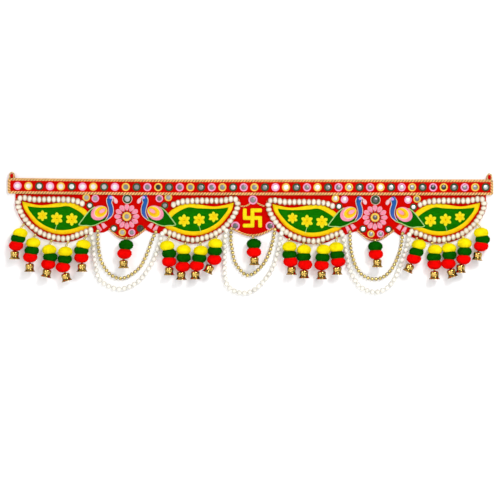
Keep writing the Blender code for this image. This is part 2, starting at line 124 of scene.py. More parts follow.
# The swags, each between the two stitches that hold it
GOLD_ROUTES = (
    ((-305, 103), (-304, 133), (-298, 163), (-285, 185), (-269, 196), (-253, 197), (-235, 188),
     (-219, 173), (-206, 147), (-198, 125), (-189, 105)),
    ((-38, 98), (-39, 121), (-36, 143), (-31, 165), (-20, 181), (-8, 191), (4, 189), (16, 180),
     (28, 166), (38, 146), (45, 122), (49, 100)),
    ((199, 105), (200, 133), (207, 164), (218, 185), (233, 196), (249, 199), (265, 195), (281, 181),
     (293, 158), (300.5, 135), (304, 108)),
)
PEARL_ROUTES = (
    ((-318, 107), (-314, 128), (-312, 155), (-305, 193), (-291, 209), (-264, 219), (-239, 213),
     (-219, 199), (-202, 176), (-189, 150), (-176, 108.5)),
    ((-48, 102.5), (-51, 124), (-52, 150), (-52, 177), (-48, 208), (-32, 223), (-11, 227), (10, 219),
     (30, 199), (46, 173), (56, 139), (62, 108)),
    ((184, 111), (192, 149), (199, 181), (214, 209), (231, 221), (253, 225), (275, 215), (291, 193),
     (304, 159), (313, 133), (317, 110.5)),
)

# A leaf, from its tip: its rim's outer and inner edge, its stars (x, down, reach) and its bead row
LEAF_OUTER = ((0, 0), (35, 7), (70, 3), (86, 1), (103, 4), (126, 18), (136, 37), (131, 51), (97, 62),
              (62, 62), (29, 46), (6, 18), (0, 0))
LEAF_INNER = ((9, 8), (35, 11), (70, 10), (86, 8), (99, 11), (119, 23), (128, 37), (124, 45),
              (95, 55), (64, 55), (34, 41), (14, 19), (9, 8))
LEAF_END = 6
STARS = ((39.3, 27.4, 11), (68, 33.3, 13), (98, 34.7, 13))
BEAD_ROW = ((119, 3), (110, -1), (94, -4), (62, -5), (23, -5), (6, -8), (-6, -7), (-9, 0), (-7.5, 12),
            (1, 28.6), (14, 45), (29.4, 57), (46.8, 66), (78, 73.7), (98.2, 70.6), (118, 62.6),
            (136, 56.4))
LEAF_THREAD = ((68, 46), (66, 52), (65, 57))

# The bird, from its head, facing right
NECK_LEFT = ((-2.2, -4.6), (-7, 1.6), (-7.2, 8.4), (-5.4, 14.4), (-3.4, 22.2), (-3, 29.8),
             (-5.4, 37.4), (-9.4, 43.4))
NECK_RIGHT = ((1.4, -4.4), (4.4, 2), (2.7, 9.2), (4.6, 14.4), (6.2, 22.2), (5.8, 29.8), (2.4, 36.8),
              (-6.8, 44.4))
BEAK = ((2.4, -3), (5.4, -1.6), (8.6, 1.6), (10.8, 6), (12.2, 10.6))
TAIL_UPPER = ((-63, 53), (-47, 32), (-38, 22.5), (-30, 18), (-20, 24), (-10, 36), (-6, 43))
TAIL_LOWER = ((-63, 53.6), (-56.6, 55), (-47.4, 55), (-39.8, 56), (-32, 54.5), (-24.4, 51.6),
              (-16.8, 47.8), (-5, 43.6))
FEET = (((-29, 55), (-24, 53), (-16, 64), (-23, 69)), ((-19, 51), (-13, 49.6), (-6, 56.6), (-14, 62.6)))


class Motif(NamedTuple):
    """A leaf with its bird: the leaf's tip, the bird's head, and 1 or -1 for which way it faces."""

    tip: tuple
    head: tuple
    facing: int


MOTIFS = (
    Motif((-455, 45), (-280, 37), 1),
    Motif((-34.5, 47.5), (-212, 37), -1),
    Motif((45, 50), (218, 39), 1),
    Motif((458, 47.5), (285, 40), -1),
)
FLOWERS = ((-247, 74), (249, 76))
SIGN_CENTRE = (4, 77)

Colour = tuple[float, float, float]


class Pattern(Enum):
    """The shared surface patterns, each a node group."""

    STITCH = "stitch_lines"
    CORD = "cord_twist"
    PILE = "velvet_pile"
    YARN = "cut_yarn"
    GLAZE = "bead_glaze"
    METAL = "worn_brass"


@dataclass(frozen=True)
class Finish:
    """How one kind of surface looks. Colours are sRGB shares, and pitch is the pattern's in mm."""

    colour: Colour
    other: Colour
    pattern: Pattern
    pitch: float = 1.0
    # painted shade: how much darker the pattern's low places are painted, as its hollows would be in shade
    hollow: float = 0.35
    bump: float = 0.4
    roughness: float = 0.6
    gloss: float = 0.2
    metallic: float = 0.0
    coat: float = 0.0


class Look(Enum):
    """Every finish on the hanging. The second colour is what a point's tint of 1 turns it to; on some
    finishes, noted below, that second colour is painted light or shade.
    """

    RED_VELVET = Finish((0.83, 0.03, 0.01), (0.7, 0.0, 0.0), Pattern.PILE, hollow=0.3, bump=0.12,
                        roughness=1.0, gloss=0.02)
    GOLD_PIPING = Finish((1.0, 0.77, 0.46), (1.0, 0.9, 0.66), Pattern.CORD, 5.9, 0.75, 0.6, 0.4, 0.3)
    GREEN_SATIN = Finish((0.08, 0.5, 0.01), (0.0, 0.3, 0.0), Pattern.STITCH, 1.6, 0.6, 0.4, 0.6, 0.05)
    LIME_CORD = Finish((0.74, 0.92, 0.55), (0.95, 0.97, 0.85), Pattern.CORD, 2.0, 0.3, 0.5, 0.5)
    # YELLOW_SATIN's orange second colour is painted shade on the lower side of the leaf rims
    YELLOW_SATIN = Finish((1.0, 0.91, 0.1), (1.0, 0.7, 0.02), Pattern.STITCH, 1.1, 0.22, 0.6, 0.6, 0.1)
    LEMON_SATIN = Finish((1.0, 0.85, 0.04), (0.93, 0.97, 0.2), Pattern.STITCH, 1.0, 0.2, 0.5, 0.6, 0.1)
    ORANGE_SATIN = Finish((1.0, 0.7, 0.16), (1.0, 0.85, 0.1), Pattern.STITCH, 1.0, 0.3, 0.5, 0.6, 0.1)
    PINK_SATIN = Finish((1.0, 0.57, 0.69), (1.0, 0.84, 0.86), Pattern.STITCH, 1.0, 0.3, 0.5, 0.6, 0.1)
    ROSE_SATIN = Finish((0.98, 0.48, 0.8), (1.0, 0.6, 0.85), Pattern.STITCH, 1.0, 0.3, 0.5, 0.6, 0.1)
    BLUE_SATIN = Finish((0.04, 0.36, 0.68), (0.4, 0.35, 0.78), Pattern.STITCH, 1.0, 0.35, 0.5, 0.5, 0.15)
    CREAM_CORD = Finish((1.0, 0.93, 0.85), (1.0, 0.78, 0.72), Pattern.CORD, 2.0, 0.3, 0.5, 0.5, 0.2)
    LILAC_SATIN = Finish((0.8, 0.62, 1.0), (0.9, 0.8, 1.0), Pattern.STITCH, 0.8, 0.2, 0.4, 0.5, 0.2)
    SEED_BROWN = Finish((0.42, 0.2, 0.05), (0.6, 0.3, 0.1), Pattern.GLAZE, roughness=0.4)
    # the rings' lighter second colours are a painted highlight on their front half
    RING_PINK = Finish((1.0, 0.45, 0.68), (1.0, 0.75, 0.88), Pattern.STITCH, 0.9, 0.25, 0.5, 0.6, 0.1)
    RING_YELLOW = Finish((1.0, 0.72, 0.12), (1.0, 0.88, 0.45), Pattern.STITCH, 0.9, 0.25, 0.5, 0.6, 0.1)
    RING_OLIVE = Finish((0.13, 0.2, 0.1), (0.32, 0.4, 0.26), Pattern.STITCH, 0.9, 0.4, 0.5, 0.6, 0.1)
    # GLASS goes from dark to white by tint: a painted reflection on each mirror
    GLASS = Finish((0.1, 0.1, 0.11), (1.0, 1.0, 1.0), Pattern.GLAZE, hollow=0.1, bump=0.05,
                   roughness=0.15, gloss=0.5, metallic=0.15, coat=0.15)
    # SHELL_BEAD's second colour is painted shade round each bead's outline
    SHELL_BEAD = Finish((1.0, 0.98, 0.9), (0.6, 0.25, 0.04), Pattern.GLAZE, hollow=0.15, bump=0.15,
                        roughness=0.22, gloss=0.5, coat=0.5)
    KNOT = Finish((0.85, 0.42, 0.14), (0.35, 0.1, 0.0), Pattern.GLAZE, roughness=0.5, gloss=0.4)
    # GOLD_BEAD's second colour is painted shade round each bead's outline; the swag thread takes it too
    GOLD_BEAD = Finish((1.0, 0.9, 0.55), (0.16, 0.09, 0.0), Pattern.METAL, hollow=0.3, bump=0.2,
                       roughness=0.18, gloss=0.5, metallic=0.6, coat=0.3)
    # PEARL's second colour is painted shade round each bead's outline
    PEARL = Finish((1.0, 0.99, 0.96), (0.82, 0.8, 0.72), Pattern.GLAZE, hollow=0.05, bump=0.05,
                   roughness=0.25, gloss=0.5, coat=0.3)
    # BRASS's dark second colour is the bells' painted reflection and painted shade
    BRASS = Finish((1.0, 0.83, 0.44), (0.24, 0.12, 0.0), Pattern.METAL, hollow=0.3, bump=0.15,
                   roughness=0.12, gloss=0.5, metallic=1.0)
    YARN_YELLOW = Finish((1.0, 0.92, 0.05), (1.0, 0.97, 0.12), Pattern.YARN, hollow=0.08, roughness=0.95,
                         gloss=0.02)
    YARN_GREEN = Finish((0.04, 0.36, 0.01), (0.1, 0.48, 0.04), Pattern.YARN, hollow=0.3, roughness=0.95,
                        gloss=0.04)
    YARN_RED = Finish((1.0, 0.03, 0.02), (1.0, 0.12, 0.06), Pattern.YARN, hollow=0.2, roughness=0.95,
                      gloss=0.02)


class Wiring:
    """Adds nodes to one tree and joins them."""

    def __init__(self, tree: bpy.types.NodeTree) -> None:
        """Keeps the tree."""
        self.tree = tree

    def add(self, kind: str, settings: dict, inputs: dict) -> bpy.types.Node:
        """Adds one node.

        Args:
            kind: the node's type name.
            settings: properties of the node itself.
            inputs: a number, a colour or another node's output for each input, by name or place.

        Returns:
            The node.
        """
        node = self.tree.nodes.new(kind)
        for name, value in settings.items():
            setattr(node, name, value)
        for key, value in inputs.items():
            if isinstance(value, bpy.types.NodeSocket):
                self.tree.links.new(value, node.inputs[key])
            else:
                node.inputs[key].default_value = value
        return node

    def math(self, operation: str, first: object, second: object = 0.0) -> bpy.types.NodeSocket:
        """The result of one sum on two values or outputs."""
        return self.add("ShaderNodeMath", {"operation": operation}, {0: first, 1: second}).outputs[0]

    def noise(self, place: bpy.types.NodeSocket, scale: float, detail: float) -> bpy.types.NodeSocket:
        """Soft noise from 0 to 1 at a place."""
        return self.add("ShaderNodeTexNoise", {}, {"Vector": place, "Scale": scale,
                                                   "Detail": detail}).outputs[0]


def start_group(name: str) -> tuple[Wiring, bpy.types.Node, bpy.types.Node]:
    """Opens a pattern's node group, which turns a place and a pitch into a height and a tone.

    Args:
        name: the group's name.

    Returns:
        Its wiring, its entry node and its exit node.
    """
    group = bpy.data.node_groups.new(name, "ShaderNodeTree")
    group.interface.new_socket("Place", in_out="INPUT", socket_type="NodeSocketVector")
    group.interface.new_socket("Pitch", in_out="INPUT", socket_type="NodeSocketFloat")
    group.interface.new_socket("Height", in_out="OUTPUT", socket_type="NodeSocketFloat")
    group.interface.new_socket("Tone", in_out="OUTPUT", socket_type="NodeSocketFloat")
    return Wiring(group), group.nodes.new("NodeGroupInput"), group.nodes.new("NodeGroupOutput")


def make_pattern(pattern: Pattern) -> bpy.types.NodeTree:
    """The node group of one pattern, made once.

    Stitches are a sine across threads that lie side by side, bent and roughened by noise stretched
    along them. A cord is a sine of the sum of the ways along and around it. Pile, yarn, glaze and
    worn brass are a fine and a broad noise of the object's own place.

    Args:
        pattern: which one.

    Returns:
        The group.
    """
    if pattern.value in bpy.data.node_groups:
        return bpy.data.node_groups[pattern.value]
    wiring, entry, leave = start_group(pattern.value)
    place, pitch = entry.outputs["Place"], entry.outputs["Pitch"]
    if pattern in (Pattern.STITCH, Pattern.CORD):
        parts = wiring.add("ShaderNodeSeparateXYZ", {}, {0: place})
        along = wiring.math("DIVIDE", parts.outputs[0], pitch)
        around = wiring.math("DIVIDE", parts.outputs[1], pitch)
        stretch = 0.12 if pattern is Pattern.STITCH else 1.0
        grain = wiring.noise(wiring.add("ShaderNodeCombineXYZ", {}, {
            0: along, 1: wiring.math("MULTIPLY", around, stretch)}).outputs[0], 1.3, 3.0)
        phase = wiring.math("ADD", along, grain if pattern is Pattern.STITCH else around)
        wave = wiring.math("SINE", wiring.math("MULTIPLY", phase, TURN))
        height = wiring.math("ADD", wiring.math("MULTIPLY", wave, 0.28),
                             wiring.math("MULTIPLY", grain, 0.5))
        height = wiring.math("ADD", height, 0.25)
        tone = wiring.noise(place, 0.09, 2.0)
    else:
        fine, broad = {Pattern.PILE: (1600.0, 28.0), Pattern.YARN: (900.0, 60.0),
                       Pattern.GLAZE: (260.0, 90.0), Pattern.METAL: (500.0, 120.0)}[pattern]
        height = wiring.noise(place, fine, 2.0)
        tone = wiring.noise(place, broad, 2.0)
    wiring.tree.links.new(height, leave.inputs["Height"])
    wiring.tree.links.new(tone, leave.inputs["Tone"])
    return wiring.tree


def linear(colour: Colour) -> tuple[float, float, float, float]:
    """A colour in sRGB shares as a linear one: the usual curve, straight near black."""
    return (*(c / 12.92 if c <= 0.04045 else ((c + 0.055) / 1.055) ** 2.4 for c in colour), 1.0)


def make_material(look: Look) -> bpy.types.Material:
    """The material of one look, made once.

    The tint mixes its two colours, the pattern's height drives the bump and paints its low places
    darker as painted shade in its hollows, and the pattern's tone lightens and darkens it over a longer way.

    Args:
        look: which one.

    Returns:
        The material.
    """
    name = f"{look.name.lower()}_look"
    if name in bpy.data.materials:
        return bpy.data.materials[name]
    finish = look.value
    material = bpy.data.materials.new(name)
    material.use_nodes = True
    wiring = Wiring(material.node_tree)
    shader = material.node_tree.nodes["Principled BSDF"]
    on_cloth = finish.pattern in (Pattern.STITCH, Pattern.CORD)
    place = wiring.add("ShaderNodeTexCoord", {}, {}).outputs["UV" if on_cloth else "Object"]
    pattern = wiring.add("ShaderNodeGroup", {"node_tree": make_pattern(finish.pattern)},
                         {"Place": place, "Pitch": finish.pitch})
    tint = wiring.add("ShaderNodeAttribute", {"attribute_name": "tint"}, {}).outputs["Fac"]
    base = wiring.add("ShaderNodeMix", {"data_type": "RGBA"},
                      {0: tint, 6: linear(finish.colour), 7: linear(finish.other)}).outputs[2]
    # painted shade: the pattern's low places are darkened
    hollow = wiring.add("ShaderNodeMapRange", {}, {
        "Value": pattern.outputs["Height"], "From Min": 0.25, "From Max": 0.7,
        "To Min": 1.0 - finish.hollow, "To Max": 1.0}).outputs[0]
    tone = wiring.add("ShaderNodeMapRange", {}, {
        "Value": pattern.outputs["Tone"], "From Min": 0.3, "From Max": 0.7,
        "To Min": 0.9, "To Max": 1.06}).outputs[0]
    shade = wiring.math("MULTIPLY", hollow, tone)
    dark = wiring.add("ShaderNodeVectorMath", {"operation": "SCALE"}, {0: base, "Scale": shade})
    bump = wiring.add("ShaderNodeBump", {}, {"Strength": finish.bump, "Distance": 0.4 * MM,
                                             "Height": pattern.outputs["Height"]})
    material.node_tree.links.new(dark.outputs[0], shader.inputs["Base Color"])
    material.node_tree.links.new(bump.outputs[0], shader.inputs["Normal"])
    shader.inputs["Roughness"].default_value = finish.roughness
    shader.inputs["Metallic"].default_value = finish.metallic
    shader.inputs["Specular IOR Level"].default_value = finish.gloss
    shader.inputs["IOR"].default_value = DULL_INDEX if finish.gloss < DULL_GLOSS else GLOSSY_INDEX
    shader.inputs["Coat Weight"].default_value = finish.coat
    shader.inputs["Coat Roughness"].default_value = 0.08
    return material


@dataclass
class Shape:
    """One closed skin in table millimetres, with its corners' places on the cloth and its tint."""

    look: Look
    points: np.ndarray
    quads: np.ndarray
    quad_uv: np.ndarray
    tris: np.ndarray
    tri_uv: np.ndarray
    tint: np.ndarray

    def volume(self) -> float:
        """The signed room inside: a sixth of the sum of each triangle's corners' triple product."""
        halves = (self.tris, self.quads[:, [0, 1, 2]], self.quads[:, [0, 2, 3]])
        a, b, c = np.moveaxis(self.points[np.concatenate(halves)], 1, 0)
        return float((a * np.cross(b, c)).sum() / 6)

    def turned_out(self) -> "Shape":
        """The same skin with its faces outward; depth points the other way in the frame."""
        if self.volume() > 0:
            self.quads, self.quad_uv = self.quads[:, ::-1], self.quad_uv[:, ::-1]
            self.tris, self.tri_uv = self.tris[:, ::-1], self.tri_uv[:, ::-1]
        return self


def curve_through(points: object, steps: int = 12) -> np.ndarray:
    """A smooth curve through points: each span is the cubic whose end slopes are half the way
    between its neighbours.

    Args:
        points: the points, in order.
        steps: stations to each span.

    Returns:
        The stations, both ends kept.
    """
    given = np.asarray(points, float)
    padded = np.concatenate([given[:1], given, given[-1:]])
    before, start, stop, after = (padded[i:len(padded) - 3 + i][:, None] for i in range(4))
    t = (np.arange(steps) / steps)[None, :, None]
    spans = 0.5 * (2 * start + (stop - before) * t
                   + (2 * before - 5 * start + 4 * stop - after) * t ** 2
                   + (3 * start - before - 3 * stop + after) * t ** 3)
    return np.concatenate([spans.reshape(-1, given.shape[1]), given[-1:]])


def run_along(path: np.ndarray) -> np.ndarray:
    """The way along a path at each of its stations."""
    return np.concatenate([[0.0], np.cumsum(np.linalg.norm(np.diff(path, axis=0), axis=1))])


def evenly(path: np.ndarray, count: int) -> np.ndarray:
    """The same path with evenly spread stations, read off by the way along it."""
    run = run_along(path)
    want = np.linspace(0, run[-1], count)
    return np.stack([np.interp(want, run, path[:, k]) for k in range(path.shape[1])], -1)


def shift(points: object, anchor: tuple, facing: int = 1) -> np.ndarray:
    """Points in the plane moved to an anchor, and mirrored where it faces left."""
    return np.asarray(anchor, float) + np.asarray(points, float) * (facing, 1)


def across(path: np.ndarray, ring: bool = False) -> np.ndarray:
    """The unit way across a flat path, a quarter turn from its slope."""
    if ring:
        slope = np.roll(path, -1, 0) - np.roll(path, 1, 0)
    else:
        slope = np.gradient(path, axis=0)
    slope = slope / np.maximum(np.linalg.norm(slope, axis=1, keepdims=True), 1e-9)
    return np.stack([-slope[:, 1], slope[:, 0]], -1)


def skin(look: Look, rows: np.ndarray, along: np.ndarray, around: np.ndarray, tint: object = 0.0,
         ring: bool = False, ends: object = None) -> Shape:
    """Joins rows of points, each a closed loop, into one closed skin.

    A quad joins two neighbours of one row to the same two of the next. A run that isn't a ring is
    closed by a fan at each end, round the row's middle or a given point.

    Args:
        look: its finish.
        rows: (rows, sides, 3) points.
        along: the way along at each row, one more for a ring.
        around: the way around at each side, and once more for the seam.
        tint: one number, or a number for each row and side.
        ring: whether the last row joins the first.
        ends: the fans' two points.

    Returns:
        The shape, faces outward.
    """
    count, sides = rows.shape[:2]
    row, side = np.meshgrid(np.arange(count if ring else count - 1), np.arange(sides), indexing="ij")
    row, side = row.ravel(), side.ravel()
    after, beside = (row + 1) % count, (side + 1) % sides
    quads = np.stack([row * sides + side, row * sides + beside, after * sides + beside,
                      after * sides + side], -1)
    u = along[np.stack([row, row, row + 1, row + 1], -1)]
    v = around[np.stack([side, side + 1, side + 1, side], -1)]
    points = rows.reshape(-1, 3)
    tints = np.broadcast_to(np.asarray(tint, float), (count, sides)).ravel()
    tris, tri_uv = np.zeros((0, 3), int), np.zeros((0, 3, 2))
    if not ring:
        middles = rows[[0, -1]].mean(axis=1) if ends is None else np.asarray(ends, float)
        k = np.arange(sides)
        following, last = (k + 1) % sides, (count - 1) * sides
        tris = np.concatenate([
            np.stack([np.full(sides, count * sides), following, k], -1),
            np.stack([np.full(sides, count * sides + 1), last + k, last + following], -1)])
        half = 0.5 * (around[k] + around[k + 1])
        tri_uv = np.stack([
            np.stack([np.full(2 * sides, along[0]), np.tile(half, 2)], -1),
            np.stack([np.full(2 * sides, along[0]), np.concatenate([around[k + 1], around[k]])], -1),
            np.stack([np.full(2 * sides, along[0]), np.concatenate([around[k], around[k + 1]])], -1),
        ], 1)
        tri_uv[sides:, :, 0] = along[-1]
        points = np.concatenate([points, middles])
        tints = np.concatenate([tints, [tints[:sides].mean(), tints[-sides:].mean()]])
    return Shape(look, points, quads, np.stack([u, v], -1), tris, tri_uv, tints).turned_out()


def ridge(look: Look, edge_a: np.ndarray, edge_b: np.ndarray, base: float, height: float,
          columns: int = 8, plump: float = 0.7, ring: bool = False, tint: object = 0.0) -> Shape:
    """A padded ridge of stitches between two edges that run side by side on the cloth.

    Across it, with a turn from 0 to half a circle, the place goes from edge a to edge b as half of
    one less the cosine, and the height is the sine to the power plump. It is lower where it is
    narrow, by the root of its width. Its underside is flat.

    Args:
        look: its finish.
        edge_a: (rows, 2) one edge.
        edge_b: (rows, 2) the other.
        base: depth of its underside.
        height: how far it stands up where it is widest.
        columns: strips across it.
        plump: under 1 is fuller, over 1 is sharper.
        ring: whether it closes on itself.
        tint: one number, or a number for each row and side.

    Returns:
        The shape.
    """
    turn = np.linspace(0, math.pi, columns + 1)
    share = (0.5 - 0.5 * np.cos(turn))[None, :, None]
    flat = edge_a[:, None] * (1 - share) + edge_b[:, None] * share
    width = np.linalg.norm(edge_b - edge_a, axis=1)
    rise = height * np.sqrt(np.maximum(width / width.max(), 0.02))
    depth = base + rise[:, None] * np.maximum(np.sin(turn), 0)[None, :] ** plump
    rows = np.concatenate([flat, depth[..., None]], -1)
    middle = 0.5 * (edge_a + edge_b)
    along = run_along(np.concatenate([middle, middle[:1]]) if ring else middle)
    around = np.concatenate([share.ravel() * width.mean(), [2 * width.mean()]])
    return skin(look, rows, along, around, tint, ring)


def band(look: Look, path: np.ndarray, half: object, base: float, height: float, columns: int = 6,
         plump: float = 0.7, ring: bool = False, tint: object = 0.0) -> Shape:
    """A ridge with its middle on a path and a half width at each station."""
    side = across(path, ring) * np.broadcast_to(np.asarray(half, float), len(path))[:, None]
    return ridge(look, path - side, path + side, base, height, columns, plump, ring, tint)


def bar(look: Look, start: tuple, stop: tuple, half: float, base: float, height: float,
        tint: object = 0.0) -> Shape:
    """A straight band with round ends: near an end its half width is a circle's."""
    stations = 24
    share = 0.5 - 0.5 * np.cos(np.linspace(0.02, math.pi - 0.02, stations))
    path = np.asarray(start, float) + np.outer(share, np.subtract(stop, start))
    length = math.dist(start, stop)
    near = np.minimum(np.minimum(share, 1 - share) * length / (0.55 * half), 1)
    return band(look, path, half * np.sqrt(1 - (1 - near) ** 2), base, height, 8, 0.6, tint=tint)


def laid(shape: Shape, grain: float) -> Shape:
    """The same shape with its pattern laid flat over it, its threads turned by the grain."""
    swing = np.array([[math.cos(grain), -math.sin(grain)], [math.sin(grain), math.cos(grain)]])
    shape.quad_uv = shape.points[shape.quads][..., :2] @ swing.T
    shape.tri_uv = shape.points[shape.tris][..., :2] @ swing.T
    return shape


def mound(look: Look, outline: np.ndarray, base: float, height: float, rings: int = 6,
          plump: float = 1.0, tint: object = 0.0, grain: float = 0.0) -> Shape:
    """A dome over a flat outline: each ring is the outline drawn to its middle by a cosine, raised
    by the sine to the power plump.

    Args:
        look: its finish.
        outline: (sides, 2) points round it.
        base: depth of its underside.
        height: how far its top stands up.
        rings: rings from the edge to the top.
        plump: under 1 is fuller.
        tint: one number, or one for each ring as a column.
        grain: which way its threads lie, as a turn of the flat places.

    Returns:
        The shape.
    """
    middle = outline.mean(axis=0)
    turn = np.linspace(0, 0.48 * math.pi, rings)
    flat = middle + (outline - middle)[None] * np.cos(turn)[:, None, None]
    depth = np.broadcast_to((base + height * np.sin(turn) ** plump)[:, None, None], (*flat.shape[:2], 1))
    rows = np.concatenate([flat, depth], -1)
    ends = [(*middle, base), (*middle, base + height)]
    count = len(outline)
    shape = skin(look, rows, np.arange(rings, dtype=float), np.arange(count + 1, dtype=float), tint,
                 ends=ends)
    return laid(shape, grain)


def oval(centre: tuple, half_x: float, half_down: float, sides: int = 32,
         lean: float = 0.0) -> np.ndarray:
    """An outline round a centre: the cosine and sine of a turn, stretched each way and leaned."""
    turn = np.linspace(0, TURN, sides, endpoint=False)
    flat = np.stack([half_x * np.cos(turn), half_down * np.sin(turn)], -1)
    swing = np.array([[math.cos(lean), -math.sin(lean)], [math.sin(lean), math.cos(lean)]])
    return np.asarray(centre, float) + flat @ swing.T


def tube(look: Look, path: np.ndarray, radius: object, sides: int = 10, axis: np.ndarray = DEPTH_AXIS,
         ring: bool = False, flat: float = 1.0, lobe: float = 0.0, tint: object = 0.0) -> Shape:
    """A round or two-ply cord along a path.

    Each row is a circle in the plane across the path. With a lobe, its radius grows and shrinks twice
    in a turn, and that turns with the way along, as two twisted strands do, once in the finish's
    pitch. The cloth places are stretched so that a whole number of pitches goes along and around.

    Args:
        look: its finish.
        path: (rows, 3) its middle.
        radius: one number or one for each row.
        sides: points round it.
        axis: a way that the path never takes, which sets the rows' start.
        ring: whether it closes on itself.
        flat: its height along the axis as a share of its width.
        lobe: how much the strands stand out, as a share of the radius.
        tint: one number, or a number for each row and side.

    Returns:
        The shape.
    """
    slope = np.roll(path, -1, 0) - np.roll(path, 1, 0) if ring else np.gradient(path, axis=0)
    slope = slope / np.linalg.norm(slope, axis=1, keepdims=True)
    beside = np.cross(slope, axis)
    beside = beside / np.linalg.norm(beside, axis=1, keepdims=True)
    upward = np.cross(beside, slope)
    along = run_along(np.concatenate([path, path[:1]]) if ring else path)
    turn = np.linspace(0, TURN, sides, endpoint=False)[None, :]
    pitch = look.value.pitch
    along = along * max(round(along[-1] / pitch), 1) * pitch / along[-1]
    twist = TURN * (along[:len(path)] / pitch)[:, None]
    reach = np.broadcast_to(np.asarray(radius, float), len(path))[:, None]
    reach = reach * (1 + lobe * np.sin(2 * turn + twist))
    rows = (path[:, None] + beside[:, None] * (reach * np.cos(turn))[..., None]
            + upward[:, None] * (flat * reach * np.sin(turn))[..., None])
    return skin(look, rows, along, np.linspace(0, 2 * pitch, sides + 1), tint, ring)


def ball(look: Look, rings: int = 9, sides: int = 16, rim: float = 0.0) -> Shape:
    """A unit ball: rings by the cosine and sine of a turn from pole to pole.

    Its tint is painted shade round its outline, seen from the front: the rim's strength times one
    less its own depth, to the power 1.3.

    Args:
        look: its finish.
        rings: rings between the poles.
        sides: points round a ring.
        rim: how much painted shade, in the second colour, its outline takes, seen from the front.

    Returns:
        The shape.
    """
    polar = np.linspace(0, math.pi, rings + 2)[1:-1]
    turn = np.linspace(0, TURN, sides, endpoint=False)
    rows = np.stack([np.outer(np.sin(polar), np.cos(turn)),
                     np.broadcast_to(-np.cos(polar)[:, None], (rings, sides)),
                     np.outer(np.sin(polar), np.sin(turn))], -1)
    # painted shade: darker towards the outline seen from the front
    tint = rim * (1 - np.abs(rows[..., 2])) ** 1.3
    return skin(look, rows, polar * 3, np.linspace(0, 6, sides + 1), tint, ends=[(0, -1, 0), (0, 1, 0)])


def copies(shape: Shape, places: np.ndarray, sizes: np.ndarray, tints: object = None) -> Shape:
    """The same shape set down at many places.

    Args:
        shape: the template.
        places: (copies, 3) where.
        sizes: (copies, 3) its stretch each way.
        tints: one for each copy, on top of the template's own.

    Returns:
        One shape that holds them all.
    """
    many, count = len(places), len(shape.points)
    points = places[:, None] + sizes[:, None] * shape.points[None]
    step = (np.arange(many) * count)[:, None, None]
    tint = np.tile(shape.tint, many) + (0 if tints is None else np.repeat(tints, count))
    return Shape(shape.look, points.reshape(-1, 3), (shape.quads[None] + step).reshape(-1, 4),
                 np.tile(shape.quad_uv, (many, 1, 1)), (shape.tris[None] + step).reshape(-1, 3),
                 np.tile(shape.tri_uv, (many, 1, 1)), np.clip(tint, 0, 1))


@dataclass
class Piece:
    """One finished object: its shapes, a slot name and the CAD nodes it stands for."""

    name: str
    slot: str
    shapes: list[Shape]
    stands_for: tuple[str, ...] = ()

    def make(self) -> bpy.types.Object:
        """Puts the shapes into one mesh, dresses it and sets it on the frame."""
        looks = list(dict.fromkeys(shape.look for shape in self.shapes))
        starts = np.cumsum([0] + [len(shape.points) for shape in self.shapes])
        points = np.concatenate([shape.points for shape in self.shapes])
        quads = np.concatenate([shape.quads + start for shape, start in zip(self.shapes, starts)])
        tris = np.concatenate([shape.tris + start for shape, start in zip(self.shapes, starts)])
        index = [looks.index(shape.look) for shape in self.shapes]
        faces = np.concatenate([np.repeat(index, [len(s.quads) for s in self.shapes]),
                                np.repeat(index, [len(s.tris) for s in self.shapes])])
        mesh = bpy.data.meshes.new(self.name)
        mesh.vertices.add(len(points))
        mesh.vertices.foreach_set("co", (points[:, [0, 2, 1]] * (MM, -MM, -MM)).ravel())
        corners = np.concatenate([quads.ravel(), tris.ravel()])
        mesh.loops.add(len(corners))
        mesh.loops.foreach_set("vertex_index", corners.astype(np.int32))
        mesh.polygons.add(len(quads) + len(tris))
        mesh.polygons.foreach_set("loop_start", np.concatenate([
            np.arange(len(quads)) * 4, len(quads) * 4 + np.arange(len(tris)) * 3]).astype(np.int32))
        mesh.polygons.foreach_set("material_index", faces.astype(np.int32))
        mesh.polygons.foreach_set("use_smooth", np.ones(len(faces), bool))
        mesh.update(calc_edges=True)
        uv = np.concatenate([s.quad_uv.reshape(-1, 2) for s in self.shapes]
                            + [s.tri_uv.reshape(-1, 2) for s in self.shapes])
        mesh.uv_layers.new(name="cloth").data.foreach_set("uv", uv.ravel())
        tint = mesh.attributes.new("tint", "FLOAT", "POINT")
        tint.data.foreach_set("value", np.concatenate([s.tint for s in self.shapes]))
        for look in looks:
            mesh.materials.append(make_material(look))
        made = bpy.data.objects.new(self.name, mesh)
        bpy.context.scene.collection.objects.link(made)
        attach(made, "root")
        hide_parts(*self.stands_for)
        log.info("%s: %d triangles", self.name, 2 * len(quads) + len(tris))
        return made


